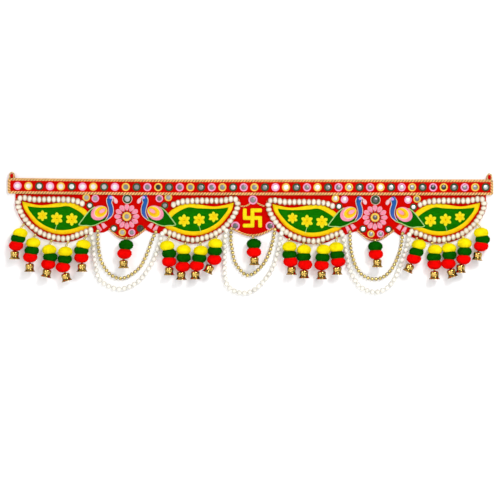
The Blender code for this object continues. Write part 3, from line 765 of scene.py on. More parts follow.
@dataclass
class Studio:
    """The camera at the photograph's place, soft light, a white wall and a pale floor."""

    lens: float = 180.0
    sensor: float = 36.0
    view_wide: float = 1.0
    aim: tuple = (-0.0008, -0.141)
    floor_down: float = 0.70

    def camera(self) -> None:
        """Sets the camera square to the wall, as far off as its lens needs for the photo's width."""
        data = bpy.data.cameras.new("camera")
        data.lens, data.sensor_width = self.lens, self.sensor
        made = bpy.data.objects.new("camera", data)
        made.location = (self.aim[0], -self.view_wide * self.lens / self.sensor, self.aim[1])
        made.rotation_euler = (math.pi / 2, 0, 0)
        bpy.context.scene.collection.objects.link(made)
        bpy.context.scene.camera = made

    def lamp(self, name: str, place: tuple, size: float, power: float) -> None:
        """Adds one square soft light that looks at the hanging."""
        data = bpy.data.lights.new(name, "AREA")
        data.size, data.energy = size, power
        made = bpy.data.objects.new(name, data)
        made.location = place
        made.rotation_euler = (Vector((0, 0, -0.1)) - Vector(place)).to_track_quat("-Z", "Y").to_euler()
        bpy.context.scene.collection.objects.link(made)

    def surface(self, name: str, corners: list[tuple], one_sided: bool) -> None:
        """Adds a white stage surface; a one-sided one doesn't show from behind."""
        mesh = bpy.data.meshes.new(name)
        mesh.from_pydata(corners, [], [(0, 1, 2, 3)])
        material = bpy.data.materials.new(name)
        material.use_nodes = True
        wiring = Wiring(material.node_tree)
        shader = material.node_tree.nodes["Principled BSDF"]
        shader.inputs["Base Color"].default_value = (0.88, 0.88, 0.88, 1)
        shader.inputs["Roughness"].default_value = 0.9
        shader.inputs["Specular IOR Level"].default_value = 0.0
        shader.inputs["Emission Color"].default_value = (1, 1, 1, 1)
        shader.inputs["Emission Strength"].default_value = 0.16 if one_sided else 0.0
        if one_sided:
            back = wiring.add("ShaderNodeNewGeometry", {}, {}).outputs["Backfacing"]
            clear = wiring.add("ShaderNodeBsdfTransparent", {}, {}).outputs[0]
            mixed = wiring.add("ShaderNodeMixShader", {}, {0: back, 1: shader.outputs[0], 2: clear})
            output = material.node_tree.nodes["Material Output"]
            material.node_tree.links.new(mixed.outputs[0], output.inputs["Surface"])
        mesh.materials.append(material)
        made = bpy.data.objects.new(name, mesh)
        bpy.context.scene.collection.objects.link(made)

    def light(self) -> None:
        """Adds the wall, the floor, the lights and a sky that is darker towards the camera."""
        wide, down = 3.0, self.floor_down
        self.surface("wall", [(-wide, 0.001, -down), (wide, 0.001, -down), (wide, 0.001, 2.0),
                              (-wide, 0.001, 2.0)], True)
        self.surface("floor", [(-wide, -4.0, -down), (wide, -4.0, -down), (wide, 2.5, -down),
                               (-wide, 2.5, -down)], False)
        self.lamp("key", (1.3, -2.6, 1.6), 0.8, 56)
        self.lamp("fill", (-1.9, -2.4, 0.3), 1.2, 20)
        self.lamp("front", (0.6, -3.2, 0.5), 0.7, 16)
        world = bpy.data.worlds.new("soft_room")
        bpy.context.scene.world = world
        world.use_nodes = True
        wiring = Wiring(world.node_tree)
        way = wiring.add("ShaderNodeTexCoord", {}, {}).outputs["Generated"]
        inward = wiring.add("ShaderNodeSeparateXYZ", {}, {0: way}).outputs[1]
        share = wiring.add("ShaderNodeMapRange", {}, {"Value": inward, "From Min": -0.9, "From Max": 0.2,
                                                      "To Min": 0.1, "To Max": 0.62}).outputs[0]
        world.node_tree.links.new(share, world.node_tree.nodes["Background"].inputs["Strength"])
        world.node_tree.nodes["Background"].inputs["Color"].default_value = (1, 1, 1, 1)
        bpy.context.scene.view_settings.view_transform = "Standard"


@dataclass
class Swag:
    """A strand of beads on a thread that hangs between two stitches."""

    name: str
    node: str
    slot: str
    look: Look
    route: tuple
    radius: float
    pitch: float
    squash: float = 1.0
    thread: float = 0.7
    gap: float = 0.6

    def middle(self) -> np.ndarray:
        """The strand's middle line: on the panel at its ends, and just off the wall between."""
        route = np.asarray(self.route, float)
        depth = np.full((len(route), 1), self.radius + self.gap)
        depth[[0, -1]] = VELVET_FRONT + self.gap + self.radius
        return curve_through(np.concatenate([route, depth], -1), 24)

    def build(self) -> None:
        line = self.middle()
        length = run_along(line)[-1]
        beads = evenly(line, round((length - 2 * self.radius) / self.pitch) + 1)
        sizes = np.full((len(beads), 3), self.radius) * (1, self.squash, 1)
        tints = np.random.default_rng(len(beads)).uniform(0, 0.2, len(beads))
        fine = evenly(line, round(length / 2))
        # the beads' outlines take painted shade
        made = Piece(self.name, self.slot, [
            copies(ball(self.look, 11, 18, 0.9), beads, sizes, tints),
            tube(self.look, fine, self.thread, 8, tint=0.8)], (self.node,)).make()


def header_lift(x: np.ndarray) -> np.ndarray:
    """How far the header's left end rides up: the square of the way left of the middle."""
    return HEADER_LIFT * np.clip((-60 - x) / 425, 0, 1) ** 2


@dataclass
class VelvetPanel:
    """The scalloped red velvet panel, one cloth from the header's back to its lower edge."""

    rows: int = 18
    roll: float = 1.2

    def edge(self) -> np.ndarray:
        """The lower edge as one line, left to right."""
        runs = [curve_through(run, 10)[:-1] for run in EDGE_RUNS]
        return np.concatenate(runs + [np.asarray(EDGE_RUNS[-1][-1:], float)])

    def build(self) -> None:
        """Each column runs straight down from the top to the edge, turns round the hem by a half circle
        and runs up the back.
        """
        edge = self.edge()
        columns = len(edge)
        drop = np.linspace(0, 1, self.rows)[None, :]
        front = PANEL_TOP + (edge[:, 1:] - PANEL_TOP - self.roll) * drop
        turn = np.linspace(0, math.pi, 7)[None, 1:-1]
        half = VELVET_FRONT / 2
        hem = edge[:, 1:] - self.roll + self.roll * np.sin(turn)
        down = np.concatenate([front, hem, front[:, ::-1]], 1)
        depth = np.concatenate([np.full(self.rows, 2 * half), half + half * np.cos(turn[0]),
                                np.zeros(self.rows)])
        x = np.broadcast_to(edge[:, :1], down.shape)
        rows = np.stack([x, down, np.broadcast_to(depth, down.shape)], -1)
        made = Piece("velvet_panel", "red_velvet",
                     [skin(Look.RED_VELVET, rows, np.arange(columns, dtype=float),
                           np.arange(down.shape[1] + 1, dtype=float))], ("base_panel",)).make()


@dataclass
class HeaderBand:
    """The red band, its twisted gold piping and its row of small mirrors."""

    mirrors: int = 45
    # number along the row, x: the row is a little wider apart at its left
    spread: tuple = ((0, -465.0), (14, -162.5), (22, 8.0), (30, 176.0), (44, 470.0))
    mirror_reach: float = 8.2
    glass_depth: float = 6.9
    columns: int = 240
    rings: tuple = (Look.RING_PINK, Look.RING_YELLOW, Look.RING_OLIVE)
    # mirrors whose glass takes a bright, a pale or a dark painted reflection; the rest take a grey one
    bright_reflection: tuple = (0, 1, 2, 3, 4, 5, 6, 7, 9, 24, 25, 28, 34)
    pale: tuple = (8, 20, 31, 35, 36, 44)
    dark_reflection: tuple = (13, 39, 40)

    def outline(self, inset: float) -> np.ndarray:
        """The band's outline drawn in on every side, as stations about 1 mm apart."""
        half = HEADER_HALF - inset
        x = np.linspace(-half, half, self.columns)
        top = np.stack([x, inset - header_lift(x)], -1)
        bottom = np.stack([x, HEADER_DROP - inset - header_lift(x)], -1)[::-1]
        closed = np.concatenate([top, bottom, top[:1]])
        return evenly(closed, round(run_along(closed)[-1]))[:-1]

    def build(self) -> None:
        """Makes the band, its piping and its mirrors."""
        inset = PIPING_WIDE / 2
        x = np.linspace(inset - HEADER_HALF, HEADER_HALF - inset, self.columns)
        down = np.linspace(inset, HEADER_DROP - inset, 12)
        over = np.concatenate([down, down[::-1]])
        crown = HEADER_FRONT + 0.3 * np.sin(np.linspace(0, math.pi, 12)) - 0.3
        depth = np.concatenate([crown, np.full(12, HEADER_BACK)])
        rows = np.stack([np.broadcast_to(x[:, None], (len(x), 24)),
                         over[None, :] - header_lift(x)[:, None],
                         np.broadcast_to(depth, (len(x), 24))], -1)
        band_made = Piece("red_header", "red_velvet",
                          [skin(Look.RED_VELVET, rows, x, np.arange(25.0))], ("header_band",)).make()
        flat = self.outline(inset)
        window = np.ones(5) / 5
        wrapped = np.concatenate([flat[-2:], flat, flat[:2]])
        flat = np.stack([np.convolve(wrapped[:, k], window, "valid") for k in range(2)], -1)
        path = np.concatenate([flat, np.full((len(flat), 1), 5.4)], -1)
        Piece("header_piping_cord", "gold_piping",
              [tube(Look.GOLD_PIPING, path, inset, 16, ring=True, flat=0.7, lobe=0.1)],
              ("header_piping",)).make()
        x = np.interp(np.arange(self.mirrors), *np.transpose(self.spread))
        shapes = []
        for i, place in enumerate(x):
            # painted reflection: each glass's tone, from white to near black
            tone = 1.0 if i in self.bright_reflection else 0.6 if i in self.pale else 0.25 + 0.04 * (i % 3)
            tone = 0.03 if i in self.dark_reflection else tone
            down = HEADER_DROP / 2 - float(header_lift(place))
            shapes += SewnMirror(place, down, self.mirror_reach, self.rings[i % 3], tone,
                                 HEADER_FRONT).shapes()
        Piece("header_mirror_row", "mirror_glass", shapes).make()


@dataclass
class SewnMirror:
    """A round mirror held by a ring wrapped with yarn."""

    x: float
    down: float
    reach: float
    ring: Look
    # the glass's painted reflection, dark at 0 and white at 1
    tone: float
    depth: float = VELVET_FRONT
    outline: bool = False
    wraps: int = 30

    share: float = 0.19

    def shapes(self) -> list[Shape]:
        """The ring, whose radius is a little larger at every other station and whose front half takes a
        painted highlight, and the glass, whose tone is a painted reflection.
        """
        minor = self.share * self.reach
        major = self.reach - minor
        circle = oval((self.x, self.down), major, major, 2 * self.wraps)
        path = np.concatenate([circle, np.full((len(circle), 1), self.depth + 0.6 * minor)], -1)
        thick = minor * (1 + 0.05 * (-1.0) ** np.arange(len(circle)))
        # painted highlight: the front half of the ring's cord turns to its lighter second colour
        lit = np.clip(np.sin(np.linspace(0, TURN, 10, endpoint=False)), 0, 1)
        made = [tube(self.ring, path, thick, 10, ring=True, tint=0.8 * lit[None, :]),
                mound(Look.GLASS, oval((self.x, self.down), major - 0.6 * minor, major - 0.6 * minor, 28),
                      self.depth - 0.2, 0.9, 5, 0.5, self.tone)]
        if self.outline:
            rim = oval((self.x, self.down), self.reach, self.reach, 48)
            made.append(band(Look.CREAM_CORD, rim, 0.9, self.depth, 1.4, ring=True))
        return made


@dataclass
class MirrorWork:
    """The mirrors sewn to the velvet, round the birds, the flowers and the sign."""

    # x, down, reach, ring, the glass's painted reflection tone, cream outline
    singles: tuple = (
        (-246, 39, 9.0, Look.RING_OLIVE, 0.6, True), (250, 41, 9.0, Look.RING_OLIVE, 0.12, True),
        (5, 41, 9.2, Look.RING_PINK, 0.3, False), (-30, 93, 8.8, Look.RING_PINK, 0.15, False),
        (39, 93, 8.8, Look.RING_PINK, 0.12, False),
        (-273, 98, 7.2, Look.RING_OLIVE, 1.0, False), (-256, 106, 7.2, Look.RING_YELLOW, 0.45, False),
        (-237, 106, 7.2, Look.RING_PINK, 0.3, False), (-220, 98, 7.2, Look.RING_OLIVE, 0.05, False),
        (225, 99, 7.2, Look.RING_OLIVE, 1.0, False), (241, 109, 7.2, Look.RING_YELLOW, 0.35, False),
        (260, 109, 7.2, Look.RING_PINK, 0.3, False), (276, 100, 7.2, Look.RING_OLIVE, 0.9, False))
    # from the bird's head: x, down, reach, ring, and a glass's painted reflection for each of the four birds
    by_bird: tuple = ((-48, -1, 7.6, Look.RING_YELLOW, (0.45, 0.4, 0.8, 0.2)),
                      (-30, 1, 7.6, Look.RING_PINK, (0.4, 0.2, 0.85, 0.9)),
                      (-41, 15, 7.0, Look.RING_OLIVE, (1.0, 0.3, 1.0, 1.0)))

    def build(self) -> None:
        """Makes all of them as one piece."""
        shapes = []
        for x, down, reach, ring, tone, outline in self.singles:
            shapes += SewnMirror(x, down, reach, ring, tone, outline=outline).shapes()
        for number, motif in enumerate(MOTIFS):
            for x, down, reach, ring, reflection_tones in self.by_bird:
                place = shift((x, down), motif.head, motif.facing)
                shapes += SewnMirror(place[0], place[1], reach, ring, reflection_tones[number]).shapes()
        Piece("panel_mirror_work", "mirror_glass", shapes).make()


@dataclass
class ScallopPiping:
    """Gold cord along the flower and sign scallops, and the double arc over the sign."""

    inset: float = 2.4
    arcs: tuple = (((-21, 52.6), (-14.5, 53.8), (-8, 52.6), (-1, 48.4)),
                   ((13, 46), (20, 50.6), (28.5, 53.4)))

    def build(self) -> None:
        """Makes all of it as one piece."""
        paths = [(curve_through(EDGE_RUNS[i], 14) - (0, self.inset), radius)
                 for i, radius in ((1, 1.5), (3, 2.0), (5, 1.5))]
        paths += [(curve_through(arc, 8), 1.5) for arc in self.arcs]
        shapes = []
        for flat, radius in paths:
            flat = evenly(flat, round(run_along(flat)[-1]))
            path = np.concatenate([flat, np.full((len(flat), 1), VELVET_FRONT + 0.7 * radius)], -1)
            shapes.append(tube(Look.GOLD_PIPING, path, radius, 10, lobe=0.1))
        Piece("scallop_piping", "gold_piping", shapes).make()


@dataclass
class BeadRow:
    """The row of shell-like beads round one leaf, with small knots in its gaps."""

    number: int
    motif: Motif
    pitch: float = 9.7
    reach: float = 5.0
    deep: float = 6.6
    knot: float = 1.9

    def build(self) -> None:
        """Makes the beads: ovals across the row, a little larger or smaller by chance."""
        chance = np.random.default_rng(40 + self.number)
        line = shift(curve_through(BEAD_ROW, 12), self.motif.tip, self.motif.facing)
        count = round(run_along(line)[-1] / self.pitch)
        flat = evenly(line, 2 * count + 1)
        depth = np.full((len(flat), 1), VELVET_FRONT + 0.75 * self.reach)
        places = np.concatenate([flat, depth], -1)
        beads, gaps = places[::2], places[1::2]
        slope = np.abs(across(flat)[::2])
        side = across(flat)[1::2] * 0.72 * self.reach
        knots = np.concatenate([gaps + np.pad(side, ((0, 0), (0, 1))),
                                gaps - np.pad(side, ((0, 0), (0, 1)))])
        knots[:, 2] = VELVET_FRONT + 0.7 * self.knot
        stretch = self.reach + (self.deep - self.reach) * slope ** 2
        sizes = np.concatenate([stretch, np.full((len(beads), 1), 0.85 * self.reach)], -1)
        sizes = sizes * chance.uniform(0.93, 1.05, (len(beads), 1))
        # the beads' outlines take painted shade
        Piece(f"leaf_beads_{self.number}", "gold_bead", [
            copies(ball(Look.SHELL_BEAD, 11, 18, 1.0), beads, sizes, chance.uniform(0, 0.14, len(beads))),
            copies(ball(Look.KNOT, 5, 8), knots, np.full((len(knots), 3), self.knot))]).make()


@dataclass
class LeafPatch:
    """An embroidered leaf: a green field, a padded yellow rim and three six-petal stars."""

    number: int
    motif: Motif
    stations: int = 90

    def place(self, points: object) -> np.ndarray:
        """Points from the leaf's tip, set on the panel."""
        return shift(points, self.motif.tip, self.motif.facing)

    def star(self, x: float, down: float, reach: float) -> list[Shape]:
        """Six petals from a middle: each is widest two thirds of the way out, by a sine."""
        share = np.linspace(0.02, 0.98, 12)
        half = 0.31 * reach * np.sin(math.pi * share ** 1.35) ** 0.8 + 0.1
        petals = []
        for k in range(6):
            angle = math.radians(60 * k - 90)
            way = np.array([math.cos(angle), math.sin(angle)])
            path = self.place(np.array([x, down]) + np.outer(share * reach, way))
            petals.append(band(Look.LEMON_SATIN, path, half, PATCH_BACK + 0.9, 1.6,
                               tint=(share ** 2)[:, None]))
        return petals

    def build(self) -> None:
        """Makes the field, the rim and the stars."""
        outer, inner = curve_through(LEAF_OUTER), curve_through(LEAF_INNER)
        middle, wide = 0.5 * (outer + inner), outer - inner
        outer, inner = outer + 0.16 * wide, inner - 0.12 * wide
        cut = LEAF_END * 12
        upper = evenly(middle[:cut + 1], self.stations)
        lower = evenly(middle[cut:][::-1], self.stations)
        spread = np.linspace(-1, 1, 19) ** 2
        field_shape = laid(ridge(Look.GREEN_SATIN, self.place(upper), self.place(lower), PATCH_BACK, 1.5,
                                 18, 0.35, tint=0.6 * spread[None, :]), math.pi / 2)
        light = self.place(evenly(curve_through(LEAF_THREAD), 10))
        # painted shade: the rim's lower side turns orange towards its outer edge, and the rest takes a quarter
        # of it
        side = np.linspace(1, 0, 9)[None, :]
        rim = ridge(Look.YELLOW_SATIN, self.place(outer[:-1]), self.place(inner[:-1]), PATCH_BACK, 2.5, 8,
                    0.7, True, tint=np.where(outer[:-1, 1:] > middle[:-1, 1:], side, 0.25))
        stars = [petal for x, down, reach in STARS for petal in self.star(x, down, reach)]
        Piece(f"leaf_field_{self.number}", "green_thread",
              [field_shape, band(Look.LIME_CORD, light, 0.6, PATCH_BACK + 1.2, 0.7)],
              (f"leaf_bird_{self.number}",)).make()
        Piece(f"leaf_rim_{self.number}", "yellow_thread", [rim]).make()
        Piece(f"leaf_stars_{self.number}", "yellow_thread", stars).make()


@dataclass
class BirdPatch:
    """An embroidered bird: green tail, nested round body, blue neck, beak, eye and feet."""

    number: int
    motif: Motif
    # middle x, down, half length, half width, finish, tint
    body: tuple = ((-22.5, 30, 17.5, 14.2, Look.PINK_SATIN, 0.1),
                   (-19.6, 28.2, 14.8, 11.6, Look.CREAM_CORD, 0.8),
                   (-18.8, 27.6, 13.4, 10, Look.ORANGE_SATIN, 0.9),
                   (-17.5, 27, 9.6, 6.4, Look.ORANGE_SATIN, 0.0),
                   (-16, 26, 7, 3.6, Look.PINK_SATIN, 0.3))
    lean: float = -0.55
    step: float = 0.3

    def place(self, points: object) -> np.ndarray:
        """Points from the bird's head, set on the panel."""
        return shift(points, self.motif.head, self.motif.facing)

    def cord(self, look: Look, points: object, half: float, base: float, rise: float) -> Shape:
        """A thin raised cord through points."""
        line = curve_through(points, 8)
        return band(look, self.place(evenly(line, round(run_along(line)[-1]))), half, base, rise)

    def build(self) -> None:
        """Makes the tail and the rest of the bird as two pieces."""
        upper = self.place(evenly(curve_through(TAIL_UPPER), 50))
        lower = self.place(evenly(curve_through(TAIL_LOWER), 50))
        tail = [ridge(Look.GREEN_SATIN, upper, lower, PATCH_BACK + 2.2, 1.2, 14, 0.3, tint=0.5),
                self.cord(Look.LIME_CORD, TAIL_UPPER[:4], 1.1, PATCH_BACK + 1.8, 2.4),
                self.cord(Look.LIME_CORD, TAIL_LOWER, 1.0, PATCH_BACK + 1.8, 2.4)]
        Piece(f"bird_tail_{self.number}", "green_thread", tail,
              (f"leaf_bird_{self.number}",)).make()
        shapes = [mound(look, self.place(oval((x, down), wide, tall, lean=self.lean)),
                        PATCH_BACK + 2.8 + self.step * level, 1.1, 7, 0.4, tint, 0.6)
                  for level, (x, down, wide, tall, look, tint) in enumerate(self.body)]
        for foot in FEET:
            corners = np.asarray(foot, float)
            closed = evenly(np.concatenate([corners, corners[:1]]), 25)[:-1]
            shapes.append(mound(Look.PINK_SATIN, self.place(closed), PATCH_BACK, 1.6, 5, 0.6, 0.35))
        left = evenly(curve_through(NECK_LEFT), 44)
        right = evenly(curve_through(NECK_RIGHT), 44)
        fade = np.linspace(0, 0.7, 44)[:, None] ** 2
        shapes.append(ridge(Look.BLUE_SATIN, self.place(left), self.place(right), PATCH_BACK + 0.4, 3.6,
                            10, 0.7, tint=fade))
        shapes.append(self.cord(Look.CREAM_CORD, NECK_LEFT, 0.8, PATCH_BACK + 0.4, 2.8))
        shapes.append(self.cord(Look.CREAM_CORD, NECK_RIGHT, 0.8, PATCH_BACK + 0.4, 2.8))
        shapes.append(self.cord(Look.CREAM_CORD, BEAK[:3], 1.6, PATCH_BACK + 0.4, 2.4))
        shapes.append(mound(Look.PINK_SATIN, self.place(oval((10.6, 5.8), 3.9, 6.0, lean=-0.45)),
                            PATCH_BACK, 3.0, 6, 0.6, 0.8))
        shapes.append(mound(Look.BLUE_SATIN, self.place(oval((-0.8, -0.8), 5.8, 5.2)), PATCH_BACK, 4.0, 6, 0.7))
        shapes.append(mound(Look.LILAC_SATIN, self.place(oval((1.0, -0.6), 3.9, 3.9)), PATCH_BACK, 4.9, 6, 0.7))
        Piece(f"bird_body_{self.number}", "pink_thread", shapes).make()


@dataclass
class FlowerPatch:
    """A round flower: twelve teardrop petals, a yellow ring with seeds and a glass middle."""

    number: int
    centre: tuple
    petals: int = 12
    start: float = 8.0
    reach: float = 25.6
    half_wide: float = 4.8
    ring_reach: float = 9.0
    seed_reach: float = 11.0

    def build(self) -> None:
        """Makes it; a petal's half width is a sine of the way out to the power 1.7."""
        share = np.linspace(0.01, 0.99, 20)
        half = self.half_wide * np.sin(math.pi * share ** 1.7) ** 0.8 + 0.15
        edge = np.abs(np.linspace(-1, 1, 9)) ** 1.5
        turns = TURN * np.arange(self.petals) / self.petals
        shapes = []
        for turn in turns:
            way = np.array([math.cos(turn), math.sin(turn)])
            out = self.start + share * (self.reach - self.start)
            path = np.asarray(self.centre, float) + np.outer(out, way)
            shapes.append(band(Look.PINK_SATIN, path, half, PATCH_BACK, 2.2, 8, tint=edge[None, :]))
        seeds = np.asarray(self.centre) + self.seed_reach * np.stack([np.cos(turns), np.sin(turns)], -1)
        seeds = np.concatenate([seeds, np.full((len(seeds), 1), PATCH_BACK + 2.2)], -1)
        shapes.append(copies(ball(Look.SEED_BROWN, 6, 10), seeds, np.full((len(seeds), 3), 1.25)))
        # the middle glass's painted reflection
        tone = 0.12 if self.number == 2 else 0.4
        shapes += SewnMirror(*self.centre, self.ring_reach, Look.RING_YELLOW, tone, PATCH_BACK + 0.8,
                             share=0.24).shapes()
        Piece(f"embroidered_flower_{self.number}", "pink_thread", shapes,
              (f"flower_{self.number}",)).make()


@dataclass
class SignPatch:
    """The upright auspicious sign: an arm of two bars, turned four times."""

    half: float = 19.3
    stroke: float = 4.0

    def build(self) -> None:
        """Makes the four arms."""
        shapes = []
        far = self.half - self.stroke
        for quarter in range(4):
            spin = np.array([[0, -1], [1, 0]])
            turned = np.linalg.matrix_power(spin, quarter)
            root, corner, tip = (np.asarray(SIGN_CENTRE) + turned @ np.asarray(p)
                                 for p in ((0, 3.0), (0, -self.half), (self.half, -far)))
            knee = np.asarray(SIGN_CENTRE) + turned @ np.asarray((-self.stroke, -far))
            shapes.append(bar(Look.YELLOW_SATIN, tuple(root), tuple(corner), self.stroke, PATCH_BACK, 2.2))
            shapes.append(bar(Look.YELLOW_SATIN, tuple(knee), tuple(tip), self.stroke, PATCH_BACK, 2.3))
        Piece("auspicious_sign", "yellow_thread", shapes, ("centre_sign",)).make()


@dataclass
class HangingLoop:
    """A folded red ribbon loop above the header, edged with a gold cord."""

    name: str
    left: float
    wide: float = 11.6
    reach: float = 3.7
    thick: float = 1.1
    tail: float = 14.0

    def build(self) -> None:
        """The ribbon goes up behind the header, round three quarters of a circle and down again.
        """
        lift = float(header_lift(np.array(self.left)))
        middle = 4.7
        centre = -lift - 4.8
        turn = np.linspace(math.pi, TURN + 2.1, 40)
        arc = np.stack([middle + self.reach * np.cos(turn), centre + self.reach * np.sin(turn)], -1)
        start = [(middle - self.reach, self.tail), (middle - self.reach, 0.5 * self.tail)]
        path = evenly(np.concatenate([start, arc, [(2.8, centre + 7), (2.8, self.tail)]]), 90)
        offset = across(path) * self.thick / 2
        loop = np.stack([path - offset, path - offset, path + offset, path + offset], 1)
        rise = np.clip((centre + 1 - path[:, 1:]) / (self.reach + 2.5), 0, 1)
        half = self.wide / 2 * np.sqrt(1 - rise ** 2)
        x = self.left + self.wide / 2 + half * np.array([-1, 1, 1, -1])
        rows = np.stack([x, loop[..., 1], loop[..., 0]], -1)
        made = Piece(f"{self.name}_ribbon", "red_velvet",
                     [skin(Look.RED_VELVET, rows, run_along(path), np.arange(5.0))],
                     (self.name,)).make()
        arch = np.linspace(math.pi, TURN, 24)
        inner = self.wide / 2 - 1.4
        x = self.left + self.wide / 2 + inner * np.cos(arch)
        top = centre - 0.5 + 5.6 * np.sin(arch)
        depth = 8.9 - 2.6 * (-np.sin(arch)).clip(0, 1) ** 2
        cord = np.stack([x, top, depth], -1)
        cord = np.concatenate([[(x[0], 2 - lift, 8.2)], cord, [(x[-1], 2 - lift, 8.2)]])
        cord = evenly(cord, round(run_along(cord)[-1] * 1.5))
        Piece(f"{self.name}_cord", "gold_piping",
              [tube(Look.GOLD_PIPING, cord, 1.3, 10, lobe=0.1, tint=0.6)]).make()


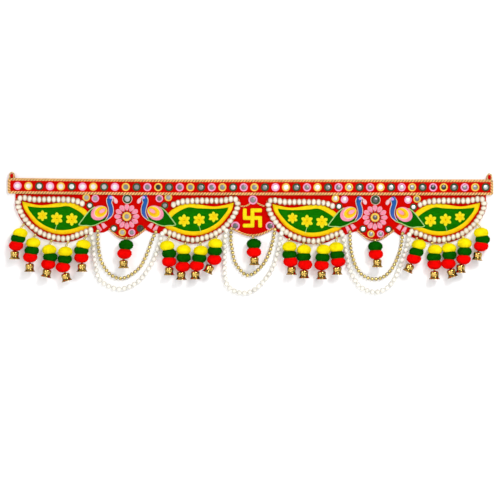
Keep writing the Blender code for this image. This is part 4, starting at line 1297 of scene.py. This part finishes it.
@dataclass
class PompomDrop:
    """A hook bead, two threads, two or three yarn pompoms and the bell under them."""

    number: int
    drop: Drop
    half_wide: float = 14.2
    half_tall: float = 10.6
    half_deep: float = 13.0
    tufts: int = 700
    # bell: radius and distance below its crown, outside then inside
    bell_outer: tuple = ((2.3, 0), (2.3, 1.4), (3.1, 2), (6.4, 2.6), (8.2, 4), (8.8, 6.4), (8.5, 9.2),
                         (8.1, 11.8), (8.5, 14.2), (9.7, 16.4), (11, 17.8), (11, 18.6))
    # painted reflection and shade: place across it as a share of its radius, how dark it is painted there all
    # the way down
    bell_reflection_shades: tuple = ((-1, 0.9), (-0.8, 0.5), (-0.5, 0), (0.15, 0), (0.4, 0.7), (0.65, 0.1),
                           (0.85, 0.5), (1, 0.9))
    # painted shade at its creases: distance below its crown, how dark it is painted there all round
    bell_crease_shades: tuple = ((0, 0.4), (2.2, 0.8), (3.4, 0.1), (11, 0.1), (14.2, 0.8), (16.6, 0.1),
                         (18.6, 0.6))
    bell_inner: tuple = ((10.2, 18.4), (8.8, 16.8), (7.2, 14.4), (6.6, 12), (6.5, 8), (5.8, 5.6))

    def crown(self) -> np.ndarray:
        """The top of the bell, half its height up its tilted axis."""
        tilt = math.radians(self.drop.tilt)
        return np.array(self.drop.bell, float) - 9.25 * np.array([math.sin(tilt), math.cos(tilt)])

    def pompom(self, look: Look, x: float, down: float, chance: np.random.Generator) -> list[Shape]:
        """A flattened ball of yarn, lumpy by slow sines, with short cut ends all over it.

        The cut ends are thin four-sided spikes on a spiral of even steps, leaning by chance.
        """
        size = np.array([self.half_wide, self.half_tall, self.half_deep])
        core = ball(look, 22, 36)
        unit = core.points
        lumps = chance.normal(0, 1, (5, 3)) * 4
        swell = 1 + 0.008 * np.sin(unit @ lumps.T + chance.uniform(0, TURN, 5)).sum(1)
        middle = np.array([x, down, DROP_DEPTH])
        core.points = middle + unit * swell[:, None] * size * 0.99
        k = np.arange(self.tufts) + 0.5
        polar, turn = np.arccos(1 - 2 * k / self.tufts), math.pi * (1 + 5 ** 0.5) * k
        out = np.stack([np.cos(turn) * np.sin(polar), np.cos(polar), np.sin(turn) * np.sin(polar)], -1)
        lean = out + chance.normal(0, 0.25, out.shape)
        root = middle + out * size * 0.97
        tip = root + lean * chance.uniform(0.9, 1.7, (self.tufts, 1))
        first = np.cross(out, chance.normal(0, 1, out.shape))
        first = 0.55 * first / np.linalg.norm(first, axis=1, keepdims=True)
        second = np.cross(out, first)
        base = [root + first * math.cos(a) + second * math.sin(a) for a in (0, TURN / 3, 2 * TURN / 3)]
        points = np.stack([*base, tip], 1)
        faces = np.array([[0, 2, 1], [0, 1, 3], [1, 2, 3], [2, 0, 3]])
        tris = (faces[None] + 4 * np.arange(self.tufts)[:, None, None]).reshape(-1, 3)
        ends = Shape(look, points.reshape(-1, 3), np.zeros((0, 4), int), np.zeros((0, 4, 2)), tris,
                     np.zeros((len(tris), 3, 2)), np.repeat(chance.uniform(0, 1, self.tufts), 4))
        return [core, ends.turned_out()]

    def bell(self) -> None:
        """A small brass bell: its profile turned round its tilted axis, hollow under the crown, with
        painted reflection and shade in its colour.
        """
        tilt = math.radians(self.drop.tilt)
        outer, inner = curve_through(self.bell_outer, 2), curve_through(self.bell_inner, 2)
        profile = np.concatenate([outer, inner])
        turn = np.linspace(0, TURN, 28, endpoint=False)
        side = np.outer(profile[:, 0], np.cos(turn))
        below = np.broadcast_to(profile[:, 1:], side.shape)
        out = np.outer(profile[:, 0], np.sin(turn))
        crown = self.crown()

        def turned(side: np.ndarray, below: np.ndarray, out: np.ndarray) -> np.ndarray:
            """Places beside, below and in front of the crown, swung by the tilt."""
            return np.stack([crown[0] + below * math.sin(tilt) + side * math.cos(tilt),
                             crown[1] + below * math.cos(tilt) - side * math.sin(tilt),
                             DROP_DEPTH + out], -1)

        ends = turned(np.zeros(2), profile[[0, -1], 1], np.zeros(2))
        # painted reflection and shade: dark bands down the bell, dark rings at its creases, and its inside
        # painted fully dark
        reflection_shade = np.interp(np.cos(turn), *np.transpose(self.bell_reflection_shades))
        crease_shade = np.interp(profile[:, 1], *np.transpose(self.bell_crease_shades))
        crease_shade[len(outer):] = 1.0
        shade = np.maximum(reflection_shade[None, :], crease_shade[:, None])
        Piece(f"brass_bell_{self.number:02d}", "brass", [
            skin(Look.BRASS, turned(side, below, out), profile[:, 1], np.linspace(0, 40, 29), shade,
                 ends=ends)], (f"bell_{self.number:02d}",)).make()

    def build(self) -> None:
        """Makes the drop and its bell."""
        chance = np.random.default_rng(self.number)
        looks = (Look.YARN_YELLOW, Look.YARN_GREEN, Look.YARN_RED)[-len(self.drop.pompoms):]
        shapes = []
        for look, (x, down) in zip(looks, self.drop.pompoms):
            shapes += self.pompom(look, x, down, chance)
        hook = np.array([*self.drop.hook, 5.4])
        # the hook bead's outline takes painted shade
        shapes.append(copies(ball(Look.GOLD_BEAD, 9, 14, 0.7), hook[None], np.full((1, 3), 3.0)))
        top = np.array([*self.drop.pompoms[0], DROP_DEPTH]) - (0, 0.8 * self.half_tall, 0)
        for side in (-1.6, 1.6):
            legs = curve_through([hook, 0.5 * (hook + top) + (side, 0, 1.5), top], 8)
            shapes.append(tube(Look.GOLD_BEAD, legs, 0.8, 8))
        low = np.array([*self.drop.pompoms[-1], DROP_DEPTH]) + (0, 0.7 * self.half_tall, 0)
        knot = np.array([*self.crown(), DROP_DEPTH])
        shapes.append(tube(Look.GOLD_PIPING, evenly(np.stack([low, knot]), 8), 1.1, 8))
        Piece(f"yarn_drop_{self.number:02d}", "pompom_yarn", shapes,
              (f"pompom_drop_{self.number:02d}",)).make()
        self.bell()


def main() -> None:
    """Builds the camera and the cords first, then the cloth, the patches and the drops."""
    logging.basicConfig(level=logging.INFO, format="%(name)s %(message)s")
    studio = Studio()
    studio.camera()
    for number, (gold, pearl) in enumerate(zip(GOLD_ROUTES, PEARL_ROUTES), 1):
        Swag(f"gold_swag_{number}", f"gold_chain_{number}", "gold_bead", Look.GOLD_BEAD, gold, 3.75,
             7.9).build()
        Swag(f"pearl_swag_{number}", f"pearl_strand_{number}", "pearl_bead", Look.PEARL, pearl, 5.0,
             10.4).build()
    VelvetPanel().build()
    HeaderBand().build()
    HangingLoop("hanger_tab_left", PANEL_LEFT - 11.9).build()
    HangingLoop("hanger_tab_right", PANEL_RIGHT + 0.3).build()
    MirrorWork().build()
    ScallopPiping().build()
    for number, motif in enumerate(MOTIFS, 1):
        BeadRow(number, motif).build()
        LeafPatch(number, motif).build()
        BirdPatch(number, motif).build()
    for number, centre in enumerate(FLOWERS, 1):
        FlowerPatch(number, centre).build()
    SignPatch().build()
    for number, drop in enumerate(DROPS, 1):
        PompomDrop(number, drop).build()
    studio.light()


if __name__ == "__main__":
    main()
